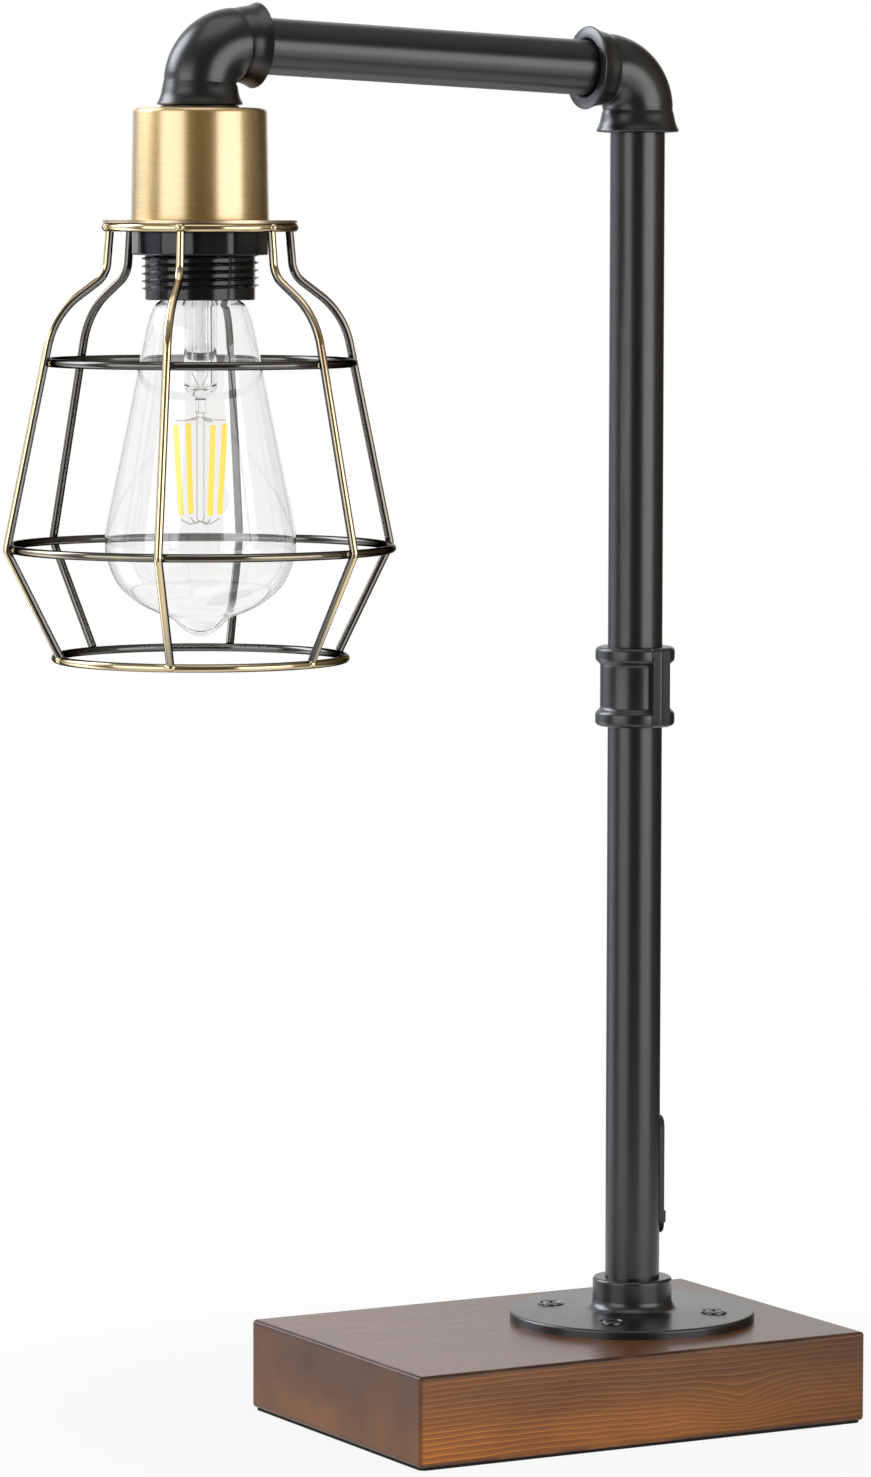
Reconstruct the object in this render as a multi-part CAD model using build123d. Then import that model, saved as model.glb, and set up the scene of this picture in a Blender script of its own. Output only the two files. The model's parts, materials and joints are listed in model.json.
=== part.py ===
from build123d import *

import math
import os

# Fits shared by all pieces
thread_clearance = 0.1
running_clearance = 0.25
weld_gap = 0.05
cut_overrun = 3.0
edge_match = 0.01

# Wooden block, the pad under it and the wiring pocket between them
base_length = 176.5
base_width = 123.0
base_block_height = 31.2
base_edge_radius = 1.4
pad_thickness = 0.8
pad_inset = 0.8
pad_corner_radius = 2.5
pocket_length = 60.0
pocket_width = 30.0
pocket_depth = 18.0
pocket_corner_radius = 6.0
riser_diameter = 12.0

# Cord inlet in the rear face of the block
inlet_height = 10.2
grommet_bore_diameter = 6.4
grommet_wall = 1.3
grommet_length = 14.0
grommet_flange_width = 2.0
grommet_flange_thickness = 1.5

# Pipework: where the axes run
pole_offset = 30.5
coupling_height = 255.2
arm_height = 468.4
arm_reach = 169.5
arm_rise = 2.6

# Pipe, and how far it screws into an elbow
pipe_diameter = 19.0
pipe_wall = 1.2
thread_depth = 8.0

# Floor flange and its screws
flange_diameter = 86.0
flange_rim_thickness = 3.2
flange_crown = 0.8
flange_edge_radius = 0.9
flange_hub_wall = 4.4
flange_hub_height = 15.0
flange_hub_fillet = 3.4
flange_hub_edge_radius = 1.1
flange_seat_height = 4.0
flange_seat_lip = 2.0
flange_screw_circle = 59.0
screw_count = 4
screw_head_diameter = 8.8
screw_shank_diameter = 3.8
screw_point_diameter = 1.2
screw_point_length = 4.0
screw_length = 19.0
screw_recess_length = 4.8
screw_recess_width = 1.2
screw_recess_depth = 1.3

# Coupling between the two lengths of the pole
coupling_length = 27.7
coupling_wall = 2.5
coupling_stop_length = 2.0
coupling_stop_lip = 1.0
coupling_band_length = 5.2
coupling_band_step = 1.75
coupling_band_round = 1.3
coupling_rib_width = 7.6
coupling_rib_step = 0.3
coupling_rib_round = 0.9
coupling_rib_angle = -80.0
coupling_rib_count = 2

# Elbows
elbow_reach = 21.2
elbow_bend_radius = 13.8
elbow_wall = 2.6
elbow_bore_diameter = 15.0
elbow_collar_length = 6.4
elbow_collar_flare = 2.1
elbow_collar_lip = 1.0
elbow_mouth_chamfer = 0.9

# Cup, and what hangs it from the head elbow
cup_washer_diameter = 26.0
cup_washer_thickness = 0.7
cup_top_diameter = 44.8
cup_bottom_diameter = 46.1
cup_height = 37.2
cup_wall = 0.9
cup_edge_radius = 1.6
nipple_diameter = 10.0
nipple_bore_diameter = 7.0
nipple_nut_width = 14.0
nipple_nut_height = 3.0

# Lampholder
holder_thread_diameter = 39.5
holder_collar_diameter = 36.8
holder_collar_height = 3.0
holder_drop = 25.5
holder_skirt_height = 36.5
holder_bore_diameter = 33.2
holder_flange_diameter = 36.0
holder_flange_thickness = 3.0
holder_core_floor = 6.0
holder_shell_inset = 8.0
dome_height = 19.0
dome_side_height = 9.0
dome_wall = 1.8
dome_boss_wall = 3.0
dome_boss_height = 4.5
shell_wall = 0.5
contact_width = 5.0
contact_thickness = 0.5
contact_anchor_reach = 8.0
contact_anchor_length = 3.5
terminal_spacing = 17.0
terminal_head_diameter = 5.0
terminal_head_height = 2.2
terminal_slot_width = 0.9
terminal_slot_depth = 1.0

# Ring that clamps the cage on the holder's thread
ring_side_count = 12
ring_diameter = 45.6
ring_height = 10.6

# Wire cage; depths are measured down from the underside of its top plate
wire_diameter = 2.8
wire_count = 6
wire_first_angle = -8.5
wire_corner_share = 1.2
cage_plate_diameter = 65.0
cage_plate_thickness = 1.0
cage_top_ring_proud = 0.3
cage_neck_depth = 17.2
cage_neck_bend = 4.0
cage_shoulder_diameter = 101.6
cage_shoulder_depth = 30.2
cage_shoulder_bend = 27.0
cage_upper_ring_depth = 46.3
cage_middle_ring_diameter = 128.4
cage_middle_ring_depth = 108.2
cage_corner_bend = 2.5
cage_bottom_ring_diameter = 97.2
cage_bottom_ring_depth = 145.2

# Bulb; heights are measured up from the tip of its glass
bulb_length = 140.0
bulb_diameter = 64.0
bulb_belly_height = 29.3
bulb_neck_diameter = 24.8
bulb_neck_height = 113.4
bulb_neck_length = 4.0
bulb_glass_wall = 0.8
bulb_nose_shares = (
    (0.1375, 0.068), (0.1875, 0.157), (0.2875, 0.235), (0.469, 0.299), (0.678, 0.41), (0.881, 0.628),
)
bulb_body_shares = (
    (0.975, 0.111), (0.891, 0.27), (0.7625, 0.509), (0.678, 0.669), (0.594, 0.829),
    (0.547, 0.908), (0.484, 0.968),
)
cap_diameter = 26.0
cap_length = 22.0
cap_wall = 0.4
cap_cone_height = 3.2
cap_hole_diameter = 18.0
cap_contact_diameter = 9.0
cap_contact_height = 1.4
stem_diameter = 11.0
stem_wall = 0.8
stem_flare_height = 6.0
stem_press_height = 82.0
stem_press_length = 5.0
stem_post_diameter = 3.0
stem_post_height = 74.6
filament_count = 4
filament_diameter = 1.8
filament_top_radius = 9.25
filament_top_height = 71.3
filament_foot_radius = 7.2
filament_foot_height = 40.8
filament_wire_diameter = 0.5
board_thickness = 1.2
board_height = 13.0

# Lead through the pipes and its connectors
flex_diameter = 5.2
flex_bend_radius = 8.0
flex_tail_length = 14.0
flex_end_gap = 5.0
lead_diameter = 1.6
lead_bend_radius = 1.1
lead_bend_shares = (0.28, 0.72)
connector_diameter = 6.8
connector_length = 12.0
connector_spacing = 7.2

# Slide switch on the pole
switch_height = 82.7
switch_plate_length = 42.0
switch_plate_width = 11.6
switch_plate_thickness = 1.6
switch_plate_round = 0.5
slider_end_margin = 6.0
slider_height = 4.4
slider_width = 6.4
slider_proud = 0.8
slider_round = 0.5
slider_stem_width = 2.4
slider_stem_height = 3.0
slider_foot_depth = 2.4
module_width = 8.6
module_length = 41.0
module_flex_gap = 0.5
hook_width = 2.0
hook_height = 1.6
hook_margin = 0.7

# Places worked out from the sizes above
pipe_radius = pipe_diameter / 2
wood_top = pad_thickness + base_block_height
arm_direction = Vector(-math.cos(math.radians(arm_rise)), 0, math.sin(math.radians(arm_rise)))
pole_corner = Vector(pole_offset, 0, arm_height)
head_corner = pole_corner + arm_direction * (arm_reach / math.cos(math.radians(arm_rise)))
head_place = head_corner.X
elbow_face = head_corner.Z - elbow_reach
cup_top = elbow_face - cup_washer_thickness
cup_bottom = cup_top - cup_height
plate_underside = cup_bottom - cage_plate_thickness
holder_mouth = plate_underside - holder_drop
skirt_top = holder_mouth + holder_skirt_height
core_top = skirt_top + holder_flange_thickness
dome_top = core_top + dome_height
holder_floor = skirt_top - holder_core_floor
core_radius = holder_bore_diameter / 2 - thread_clearance
shell_inner_radius = cap_diameter / 2 + running_clearance
bulb_contact = holder_floor - cap_cone_height
bulb_tip = bulb_contact - bulb_length
clamp_bore_radius = holder_thread_diameter / 2 + running_clearance
cage_top_ring_diameter = cage_plate_diameter + 2 * cage_top_ring_proud - wire_diameter
cage_neck_diameter = cage_top_ring_diameter + wire_diameter
flex_tail = pad_thickness + connector_diameter / 2
slider_rest = switch_height - switch_plate_length / 2 + slider_end_margin
slider_travel = switch_plate_length - 2 * slider_end_margin
module_front = math.sqrt((pipe_radius - pipe_wall) ** 2 - (module_width / 2) ** 2) - thread_clearance


# Shapes used by many pieces


def turned(*outline):
    """Solid turned about Z from an outline of (radius, height) points."""
    return revolve(Plane.XZ * make_face(Polyline(*outline, close=True)), Axis.Z)


def bar(radius, start, end):
    """Round bar from one point to another."""
    run = Vector(end) - Vector(start)
    return extrude(Plane(origin=start, z_dir=run) * Circle(radius), amount=run.length)


def swept(path, radius):
    """Round bar along a path."""
    return sweep(Plane(origin=path @ 0, z_dir=path % 0) * Circle(radius), path=path)


def hoop(ring_radius, height):
    """Closed ring of cage wire about Z."""
    return Pos(0, 0, height) * Torus(ring_radius, wire_diameter / 2)


def round_edge(solid, radius, height, blend):
    """Rounds the circular edges of one radius at one height."""
    found = [
        edge
        for edge in solid.edges().filter_by(GeomType.CIRCLE)
        if abs(edge.radius - radius) < edge_match and abs(edge.arc_center.Z - height) < edge_match
    ]
    return fillet(found, blend)


def around(count, first_angle=0.0):
    """Evenly spaced turns about Z."""
    return [Rot(0, 0, first_angle + 360 * step / count) for step in range(count)]


def at_pole(shape, height=0.0):
    """Moves a shape from the Z axis to the pole's axis."""
    return Pos(pole_offset, 0, height) * shape


def at_head(shape, height=0.0):
    """Moves a shape from the Z axis to the head's axis."""
    return Pos(head_place, 0, height) * shape


# Base


def flange_surface(radius):
    """Height of the flange's top face above the block, at a distance from its axis."""
    hub_radius = pipe_radius + flange_hub_wall
    share = (flange_diameter / 2 - radius) / (flange_diameter / 2 - hub_radius)
    return flange_rim_thickness + flange_crown * share


def screw_blank(allowance):
    """Countersunk screw from its head down, or with an allowance the hole that takes it."""
    head = screw_head_diameter / 2 + allowance
    shank = screw_shank_diameter / 2 + allowance
    point = screw_point_diameter / 2 + allowance
    neck = -(screw_head_diameter - screw_shank_diameter) / 2
    taper = screw_point_length - screw_length
    return turned(
        (0, 0), (head, 0), (shank, neck), (shank, taper), (point, -screw_length), (0, -screw_length)
    )


def screw_places():
    """Places of the flange screws, on the diagonals of the block."""
    reach = Pos(flange_screw_circle / 2, 0, wood_top + flange_surface(flange_screw_circle / 2))
    return [Pos(pole_offset, 0, 0) * turn * reach for turn in around(screw_count, 180 / screw_count)]


def inlet(shape):
    """Turns a shape made along Z to the cord inlet, with Z out of the rear face."""
    return Pos(pole_offset, base_width / 2, pad_thickness + inlet_height) * Rot(-90, 0, 0) * shape


def make_wood_base():
    middle = pad_thickness + base_block_height / 2
    block = Pos(0, 0, middle) * Box(base_length, base_width, base_block_height)
    block = fillet(block.edges(), base_edge_radius)
    floor_plan = RectangleRounded(pocket_length, pocket_width, pocket_corner_radius)
    pocket = at_pole(extrude(floor_plan, pocket_depth + cut_overrun), pad_thickness - cut_overrun)
    riser = at_pole(Cylinder(riser_diameter / 2, base_block_height + cut_overrun), middle)
    sleeve = grommet_bore_diameter / 2 + grommet_wall + thread_clearance
    channel = inlet(bar(sleeve, (0, 0, cut_overrun), (0, 0, -base_width / 2)))
    pilots = [place * screw_blank(thread_clearance) for place in screw_places()]
    return block - [pocket, riser, channel, *pilots]


def make_base_pad():
    outline = RectangleRounded(base_length - 2 * pad_inset, base_width - 2 * pad_inset, pad_corner_radius)
    return extrude(outline, pad_thickness)


def make_cord_grommet():
    bore = grommet_bore_diameter / 2
    sleeve = bore + grommet_wall
    flange = sleeve + grommet_flange_width
    return inlet(
        turned(
            (bore, -grommet_length), (sleeve, -grommet_length), (sleeve, 0), (flange, 0),
            (flange, grommet_flange_thickness), (bore, grommet_flange_thickness),
        )
    )


def make_floor_flange():
    rim = flange_diameter / 2
    hub = pipe_radius + flange_hub_wall
    seat = pipe_radius + thread_clearance
    lip = pipe_radius - flange_seat_lip
    foot = flange_surface(hub)
    body = turned(
        (lip, 0), (rim, 0), (rim, flange_rim_thickness), (hub, foot), (hub, flange_hub_height),
        (seat, flange_hub_height), (seat, flange_seat_height), (lip, flange_seat_height),
    )
    body = round_edge(body, hub, foot, flange_hub_fillet)
    body = round_edge(body, hub, flange_hub_height, flange_hub_edge_radius)
    body = round_edge(body, rim, flange_rim_thickness, flange_edge_radius)
    return at_pole(body, wood_top) - [place * screw_blank(thread_clearance) for place in screw_places()]


def make_flange_screws():
    slot = Box(screw_recess_length, screw_recess_width, 2 * screw_recess_depth)
    screw = screw_blank(0) - [slot, Rot(0, 0, 90) * slot]
    return Compound([place * screw for place in screw_places()])


# Pole and arm


def pipe_tube(start, end):
    """Length of pipe from one point to another."""
    return bar(pipe_radius, start, end) - bar(pipe_radius - pipe_wall, start, end)


def switch_slot(length, width, depth):
    """Round-ended cut through the pole's side, about the switch's middle."""
    outline = Plane.YZ * SlotOverall(length, width, rotation=90)
    return at_pole(extrude(outline, depth), switch_height)


def stem_slot_length():
    """Length of the slot that the slider's stem runs in."""
    return slider_travel + slider_stem_height + 2 * running_clearance


def make_lower_pipe():
    foot = (pole_offset, 0, wood_top + flange_seat_height)
    head = (pole_offset, 0, coupling_height - coupling_stop_length / 2)
    length = stem_slot_length() + 2 * (running_clearance + hook_height + hook_margin)
    width = slider_stem_width + 2 * running_clearance
    return pipe_tube(foot, head) - switch_slot(length, width, pipe_diameter)


def make_upper_pipe():
    foot = (pole_offset, 0, coupling_height + coupling_stop_length / 2)
    return pipe_tube(foot, (pole_offset, 0, arm_height - elbow_reach + thread_depth))


def make_arm_pipe():
    inset = arm_direction * (elbow_reach - thread_depth)
    return pipe_tube(pole_corner + inset, head_corner - inset)


def make_pipe_coupling():
    bore = pipe_radius + thread_clearance
    body = bore + coupling_wall
    band = body + coupling_band_step
    half = coupling_length / 2
    waist = half - coupling_band_length
    stop = coupling_stop_length / 2
    coupling = turned(
        (bore, -half), (band, -half), (band, -waist), (body, -waist), (body, waist), (band, waist),
        (band, half), (bore, half), (bore, stop), (bore - coupling_stop_lip, stop),
        (bore - coupling_stop_lip, -stop), (bore, -stop),
    )
    for height in (-half, -waist, waist, half):
        coupling = round_edge(coupling, band, height, coupling_band_round)
    hollow = Cylinder(bore, coupling_length)
    for turn in around(coupling_rib_count, coupling_rib_angle):
        coupling += turn * (coupling_rib(band) - hollow)
    return at_pole(coupling, coupling_height)


def coupling_rib(band):
    """Flat-faced rib that runs along the coupling, a little proud of its bands."""
    reach = band + coupling_rib_step
    rib = Pos(reach / 2, 0, 0) * Box(reach, coupling_rib_width, coupling_length)
    outer = rib.edges().group_by(Axis.X)[-1]
    return fillet(outer, coupling_rib_round)


def elbow_collar(mouth, outwards):
    """Flared collar whose mouth is at a point and faces outwards."""
    body = pipe_radius + thread_clearance + elbow_wall
    lip = body + elbow_collar_flare
    cone = turned(
        (0, -elbow_collar_length), (body, -elbow_collar_length), (lip, -elbow_collar_lip), (lip, 0), (0, 0)
    )
    return Plane(origin=mouth, z_dir=outwards) * cone


def elbow_socket(mouth, outwards):
    """Cut for the pipe that screws into a collar, with a chamfered mouth."""
    seat = pipe_radius + thread_clearance
    wide = seat + elbow_mouth_chamfer
    cut = turned(
        (0, -thread_depth), (seat, -thread_depth), (seat, -elbow_mouth_chamfer), (wide, 0),
        (wide, cut_overrun), (0, cut_overrun),
    )
    return Plane(origin=mouth, z_dir=outwards) * cut


def make_elbow(corner, arm_side):
    """Elbow with one leg straight down and the other along the arm."""
    down = Vector(0, 0, -1)
    lower_mouth = corner + down * elbow_reach
    arm_mouth = corner + arm_side * elbow_reach
    path = FilletPolyline(lower_mouth, corner, arm_mouth, radius=elbow_bend_radius)
    body = swept(path, pipe_radius + thread_clearance + elbow_wall)
    body += [elbow_collar(lower_mouth, down), elbow_collar(arm_mouth, arm_side)]
    body -= swept(path, elbow_bore_diameter / 2)
    return body - [elbow_socket(lower_mouth, down), elbow_socket(arm_mouth, arm_side)]


# Cup and its hanging parts


def make_elbow_bushing():
    bushing = turned(
        (nipple_diameter / 2 + thread_clearance, 0), (pipe_radius, 0), (pipe_radius, thread_depth),
        (nipple_diameter / 2 + thread_clearance, thread_depth),
    )
    return at_head(bushing, elbow_face)


def nipple_ring(outer_radius, thickness):
    """Flat ring that fits over the nipple."""
    bore = nipple_diameter / 2 + thread_clearance
    return turned((bore, 0), (outer_radius, 0), (outer_radius, thickness), (bore, thickness))


def make_cup_washer():
    return at_head(nipple_ring(cup_washer_diameter / 2, cup_washer_thickness), cup_top)


def make_socket_cup():
    hole = nipple_diameter / 2 + thread_clearance
    top = cup_top_diameter / 2
    mouth = cup_bottom_diameter / 2
    cup = turned(
        (hole, 0), (top, 0), (mouth, -cup_height), (mouth - cup_wall, -cup_height),
        (top - cup_wall, -cup_wall), (hole, -cup_wall),
    )
    return at_head(round_edge(cup, top, 0, cup_edge_radius), cup_top)


def make_hollow_nipple():
    bottom = (head_place, 0, dome_top - dome_boss_height)
    top = (head_place, 0, elbow_face + thread_depth)
    return bar(nipple_diameter / 2, bottom, top) - bar(nipple_bore_diameter / 2, bottom, top)


def make_nipple_nut():
    hexagon = RegularPolygon(nipple_nut_width / 2, 6, major_radius=False)
    bored = hexagon - Circle(nipple_diameter / 2 + thread_clearance)
    return at_head(extrude(bored, nipple_nut_height), cup_top - cup_wall - nipple_nut_height)


# Lampholder


def make_holder_dome():
    side = holder_flange_diameter / 2
    bore = nipple_diameter / 2 + thread_clearance
    boss = bore + dome_boss_wall
    inside = dome_height - dome_boss_height
    dome = turned(
        (side - dome_wall, 0), (side, 0), (side, dome_side_height), (boss, inside), (boss, dome_height),
        (bore, dome_height), (bore, inside - dome_wall), (boss, inside - dome_wall),
        (side - dome_wall, dome_side_height - dome_wall),
    )
    return at_head(dome, core_top)


def make_holder_core():
    sleeve_bore = shell_inner_radius + shell_wall + thread_clearance
    flange = holder_flange_diameter / 2
    depth = holder_skirt_height - holder_shell_inset
    core = turned(
        (0, holder_flange_thickness), (0, -holder_core_floor), (sleeve_bore, -holder_core_floor),
        (sleeve_bore, -depth), (core_radius, -depth), (core_radius, 0), (flange, 0),
        (flange, holder_flange_thickness),
    )
    return at_head(core, skirt_top)


def make_screw_shell():
    outer = shell_inner_radius + shell_wall
    depth = holder_skirt_height - holder_shell_inset
    shell = turned(
        (shell_inner_radius, -depth), (outer, -depth), (outer, -holder_core_floor),
        (shell_inner_radius, -holder_core_floor),
    )
    return at_head(shell, skirt_top)


def make_centre_contact():
    tongue = cap_cone_height - thread_clearance
    pad = cap_contact_diameter / 2
    near = contact_anchor_reach - contact_anchor_length
    profile = Polyline(
        (contact_anchor_reach, 0), (near, 0), (pad / 2, contact_thickness - tongue),
        (-pad, contact_thickness - tongue), (-pad, -tongue), (pad / 2, -tongue), (near, -contact_thickness),
        (contact_anchor_reach, -contact_thickness), close=True,
    )
    strip = extrude(Plane.XZ * make_face(profile), contact_width / 2, both=True)
    return at_head(strip, holder_floor)


def make_holder_skirt():
    collar = holder_collar_diameter / 2
    thread = holder_thread_diameter / 2
    bore = holder_bore_diameter / 2
    skirt = turned(
        (bore, 0), (collar, 0), (collar, holder_collar_height), (thread, holder_collar_height),
        (thread, holder_skirt_height), (bore, holder_skirt_height),
    )
    return at_head(skirt, holder_mouth)


def terminal_places():
    """Places of the two terminals on top of the core."""
    return [turn * Pos(terminal_spacing / 2, 0, core_top) for turn in around(2, 90)]


def make_terminal_screws():
    head = extrude(Circle(terminal_head_diameter / 2), terminal_head_height)
    slot = Box(terminal_head_diameter, terminal_slot_width, 2 * terminal_slot_depth)
    screw = head - Pos(0, 0, terminal_head_height) * slot
    return Compound([at_head(place * screw) for place in terminal_places()])


def make_holder_leads():
    start = dome_top - dome_boss_height - flex_end_gap - thread_clearance
    drop = start - core_top - terminal_head_height
    inner = flex_diameter / 4
    outer = terminal_spacing / 2
    upper_share, lower_share = lead_bend_shares
    path = FilletPolyline(
        (inner, 0, start), (inner, 0, start - upper_share * drop), (outer, 0, start - lower_share * drop),
        (outer, 0, start - drop), radius=lead_bend_radius,
    )
    lead = swept(path, lead_diameter / 2)
    return Compound([at_head(turn * lead) for turn in around(2, 90)])


# Lead through the pipes


def make_lower_flex():
    tail = (pole_offset - flex_tail_length, 0, flex_tail)
    corner = (pole_offset, 0, flex_tail)
    path = FilletPolyline(tail, corner, (pole_offset, 0, coupling_height), radius=flex_bend_radius)
    return swept(path, flex_diameter / 2)


def make_upper_flex():
    start = (pole_offset, 0, coupling_height)
    end = (head_place, 0, dome_top - dome_boss_height - flex_end_gap)
    path = FilletPolyline(start, pole_corner, head_corner, end, radius=elbow_bend_radius)
    return swept(path, flex_diameter / 2)


def make_wire_connectors():
    end = pole_offset - flex_tail_length - thread_clearance
    connectors = []
    for side in (-1, 1):
        start = (end, side * connector_spacing / 2, flex_tail)
        body = bar(connector_diameter / 2, start, (end - connector_length, start[1], flex_tail))
        closed_end = body.faces().sort_by(Axis.X)[0]
        connectors.append(fillet(closed_end.edges(), connector_diameter / 4))
    return Compound(connectors)


# Slide switch


def plate_inner_radius():
    """Radius of the face by which the switch plate hugs the pole."""
    return pipe_radius + weld_gap


def hook_places():
    """Heights of the middles of the plate's two hooks."""
    reach = stem_slot_length() / 2 + running_clearance + hook_height / 2
    return (switch_height - reach, switch_height + reach)


def make_switch_plate():
    inner = plate_inner_radius()
    outer = inner + switch_plate_thickness
    wall = turned(
        (inner, -switch_plate_length), (outer, -switch_plate_length), (outer, switch_plate_length),
        (inner, switch_plate_length),
    )
    outline = switch_slot(switch_plate_length, switch_plate_width, pipe_diameter)
    plate = at_pole(wall, switch_height) & outline
    rim = plate.faces().sort_by(Axis.X)[-1].edges()
    plate = fillet(rim, switch_plate_round)
    stem_width = slider_stem_width + 2 * running_clearance
    plate -= switch_slot(stem_slot_length(), stem_width, pipe_diameter)
    hook_length = inner + switch_plate_thickness / 2 - module_front
    for height in hook_places():
        hook = Box(hook_length, hook_width, hook_height)
        plate += at_pole(Pos(module_front + hook_length / 2, 0, 0) * hook, height)
    return plate


def make_switch_module():
    back = flex_diameter / 2 + module_flex_gap
    body = Pos((back + module_front) / 2, 0, 0) * Box(module_front - back, module_width, module_length)
    channel_width = slider_stem_width + 2 * running_clearance
    channel_depth = slider_foot_depth + running_clearance
    channel = Box(2 * channel_depth, channel_width, stem_slot_length())
    return at_pole(body - Pos(module_front, 0, 0) * channel, switch_height)


def make_switch_slider():
    face = plate_inner_radius() + switch_plate_thickness + running_clearance
    tip = module_front - slider_foot_depth
    button = Pos(face + slider_proud / 2, 0, 0) * Box(slider_proud, slider_width, slider_height)
    button = fillet(button.faces().sort_by(Axis.X)[-1].edges(), slider_round)
    section = Plane.YZ * SlotOverall(slider_stem_height, slider_stem_width, rotation=90)
    return at_pole(button + Pos(tip, 0, 0) * extrude(section, face - tip), slider_rest)


# Cage and its ring


def wire_line(depth):
    """Distance of a cage wire from the head's axis on its long straight run, at a depth."""
    shoulder = cage_shoulder_diameter / 2
    share = (depth - cage_shoulder_depth) / (cage_middle_ring_depth - cage_shoulder_depth)
    return shoulder + (cage_corner_radius() - shoulder) * share


def cage_corner_radius():
    """Distance of a wire's sharp corner from the head's axis, outside the middle ring."""
    return cage_middle_ring_diameter / 2 + wire_diameter * wire_corner_share


def upper_ring_radius():
    """Radius of the ring that sits inside the wires on their straight run."""
    lean = math.atan2(
        cage_corner_radius() - cage_shoulder_diameter / 2, cage_middle_ring_depth - cage_shoulder_depth
    )
    return wire_line(cage_upper_ring_depth) - (wire_diameter + weld_gap) / math.cos(lean)


def top_ring_height():
    """Height of the top ring's middle, against the underside of the plate."""
    return plate_underside - wire_diameter / 2


def welded_end(ring_radius, ring_height, neighbour):
    """End of a wire that runs straight at a ring and is welded to its surface."""
    ring = Vector(ring_radius, 0, ring_height)
    return ring + (neighbour - ring).normalized() * (wire_diameter / 2 + weld_gap)


def make_cage_wires():
    neck = Vector(cage_neck_diameter / 2, 0, plate_underside - cage_neck_depth)
    shoulder = Vector(cage_shoulder_diameter / 2, 0, plate_underside - cage_shoulder_depth)
    corner = Vector(cage_corner_radius(), 0, plate_underside - cage_middle_ring_depth)
    top = welded_end(cage_top_ring_diameter / 2, top_ring_height(), neck)
    foot = welded_end(cage_bottom_ring_diameter / 2, plate_underside - cage_bottom_ring_depth, corner)
    bends = [cage_neck_bend, cage_shoulder_bend, cage_corner_bend]
    wire = swept(FilletPolyline(top, neck, shoulder, corner, foot, radius=bends), wire_diameter / 2)
    return Compound([at_head(turn * wire) for turn in around(wire_count, wire_first_angle)])


def make_cage_top_plate():
    plate = turned(
        (clamp_bore_radius, 0), (cage_plate_diameter / 2, 0),
        (cage_plate_diameter / 2, cage_plate_thickness), (clamp_bore_radius, cage_plate_thickness),
    )
    return at_head(plate, plate_underside)


def make_cage_ring(diameter, depth):
    """One of the cage's rings, at a depth below the plate."""
    return at_head(hoop(diameter / 2, plate_underside - depth))


def make_shade_ring():
    outline = RegularPolygon(ring_diameter / 2, ring_side_count) - Circle(clamp_bore_radius)
    return at_head(extrude(outline, ring_height), plate_underside - ring_height)


# Bulb


def glass_curves(inset):
    """Outline of the glass from its tip to its neck, moved inwards by an inset."""
    radius = bulb_diameter / 2
    belly = (radius - inset, bulb_belly_height)
    neck = (bulb_neck_diameter / 2 - inset, bulb_neck_height)
    nose = [
        (share * (radius - inset), bulb_belly_height - (1 - rise) * (bulb_belly_height - inset))
        for share, rise in bulb_nose_shares
    ]
    body = [
        (share * radius - inset, bulb_belly_height + rise * (bulb_neck_height - bulb_belly_height))
        for share, rise in bulb_body_shares
    ]
    lower = Spline((0, inset), *nose, belly, tangents=[(1, 0), (0, 1)], tangent_scalars=[1, 1])
    upper = Spline(belly, *body, neck, tangents=[(0, 1), (0, 1)], tangent_scalars=[1, 1])
    return [lower, upper]


def make_bulb_glass():
    inner_neck = bulb_neck_diameter / 2 - bulb_glass_wall
    top = bulb_neck_height + bulb_neck_length
    end = Polyline(
        (bulb_neck_diameter / 2, bulb_neck_height), (bulb_neck_diameter / 2, top), (inner_neck, top),
        (inner_neck, bulb_neck_height),
    )
    axis = Line((0, bulb_glass_wall), (0, 0))
    outline = make_face([*glass_curves(0), end, *glass_curves(bulb_glass_wall), axis])
    return at_head(revolve(Plane.XZ * outline, Axis.Z), bulb_tip)


def cap_levels():
    """Heights of the bottom and the top of the screw cap's shell."""
    top = bulb_contact - cap_contact_height - cap_cone_height
    return top - cap_length, top


def make_bulb_cap():
    bottom, top = cap_levels()
    outer = cap_diameter / 2
    return at_head(
        turned(
            (outer - cap_wall, bottom), (outer, bottom), (outer, top), (cap_hole_diameter / 2, top),
            (cap_hole_diameter / 2, top - cap_wall), (outer - cap_wall, top - cap_wall),
        )
    )


def make_cap_insulator():
    top = cap_levels()[1]
    cone_top = top + cap_cone_height
    foot = cap_hole_diameter / 2 + cap_wall
    return at_head(turned((0, top), (foot, top), (cap_contact_diameter / 2, cone_top), (0, cone_top)))


def make_cap_contact():
    disc = extrude(Circle(cap_contact_diameter / 2), cap_contact_height)
    return at_head(disc, bulb_contact - cap_contact_height)


def make_driver_board():
    top = cap_levels()[1] - cap_wall
    width = cap_diameter - 2 * (cap_wall + thread_clearance)
    return at_head(Box(width, board_thickness, board_height), top - board_height / 2)


def make_bulb_stem():
    flare = bulb_neck_diameter / 2 - bulb_glass_wall - thread_clearance
    tube = stem_diameter / 2
    bore = tube - stem_wall
    post = stem_post_diameter / 2
    press = stem_press_height - stem_press_length
    top = bulb_neck_height + bulb_neck_length
    stem = turned(
        (flare, top), (tube, top - stem_flare_height), (tube, stem_press_height), (post, press),
        (post, stem_post_height), (0, stem_post_height), (0, stem_press_height), (bore, stem_press_height),
        (bore, top - stem_flare_height), (flare - stem_wall, top),
    )
    return at_head(stem, bulb_tip)


def make_filament_sticks():
    stick = bar(
        filament_diameter / 2, (filament_foot_radius, 0, filament_foot_height),
        (filament_top_radius, 0, filament_top_height),
    )
    return Compound([at_head(turn * stick, bulb_tip) for turn in around(filament_count)])


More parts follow.
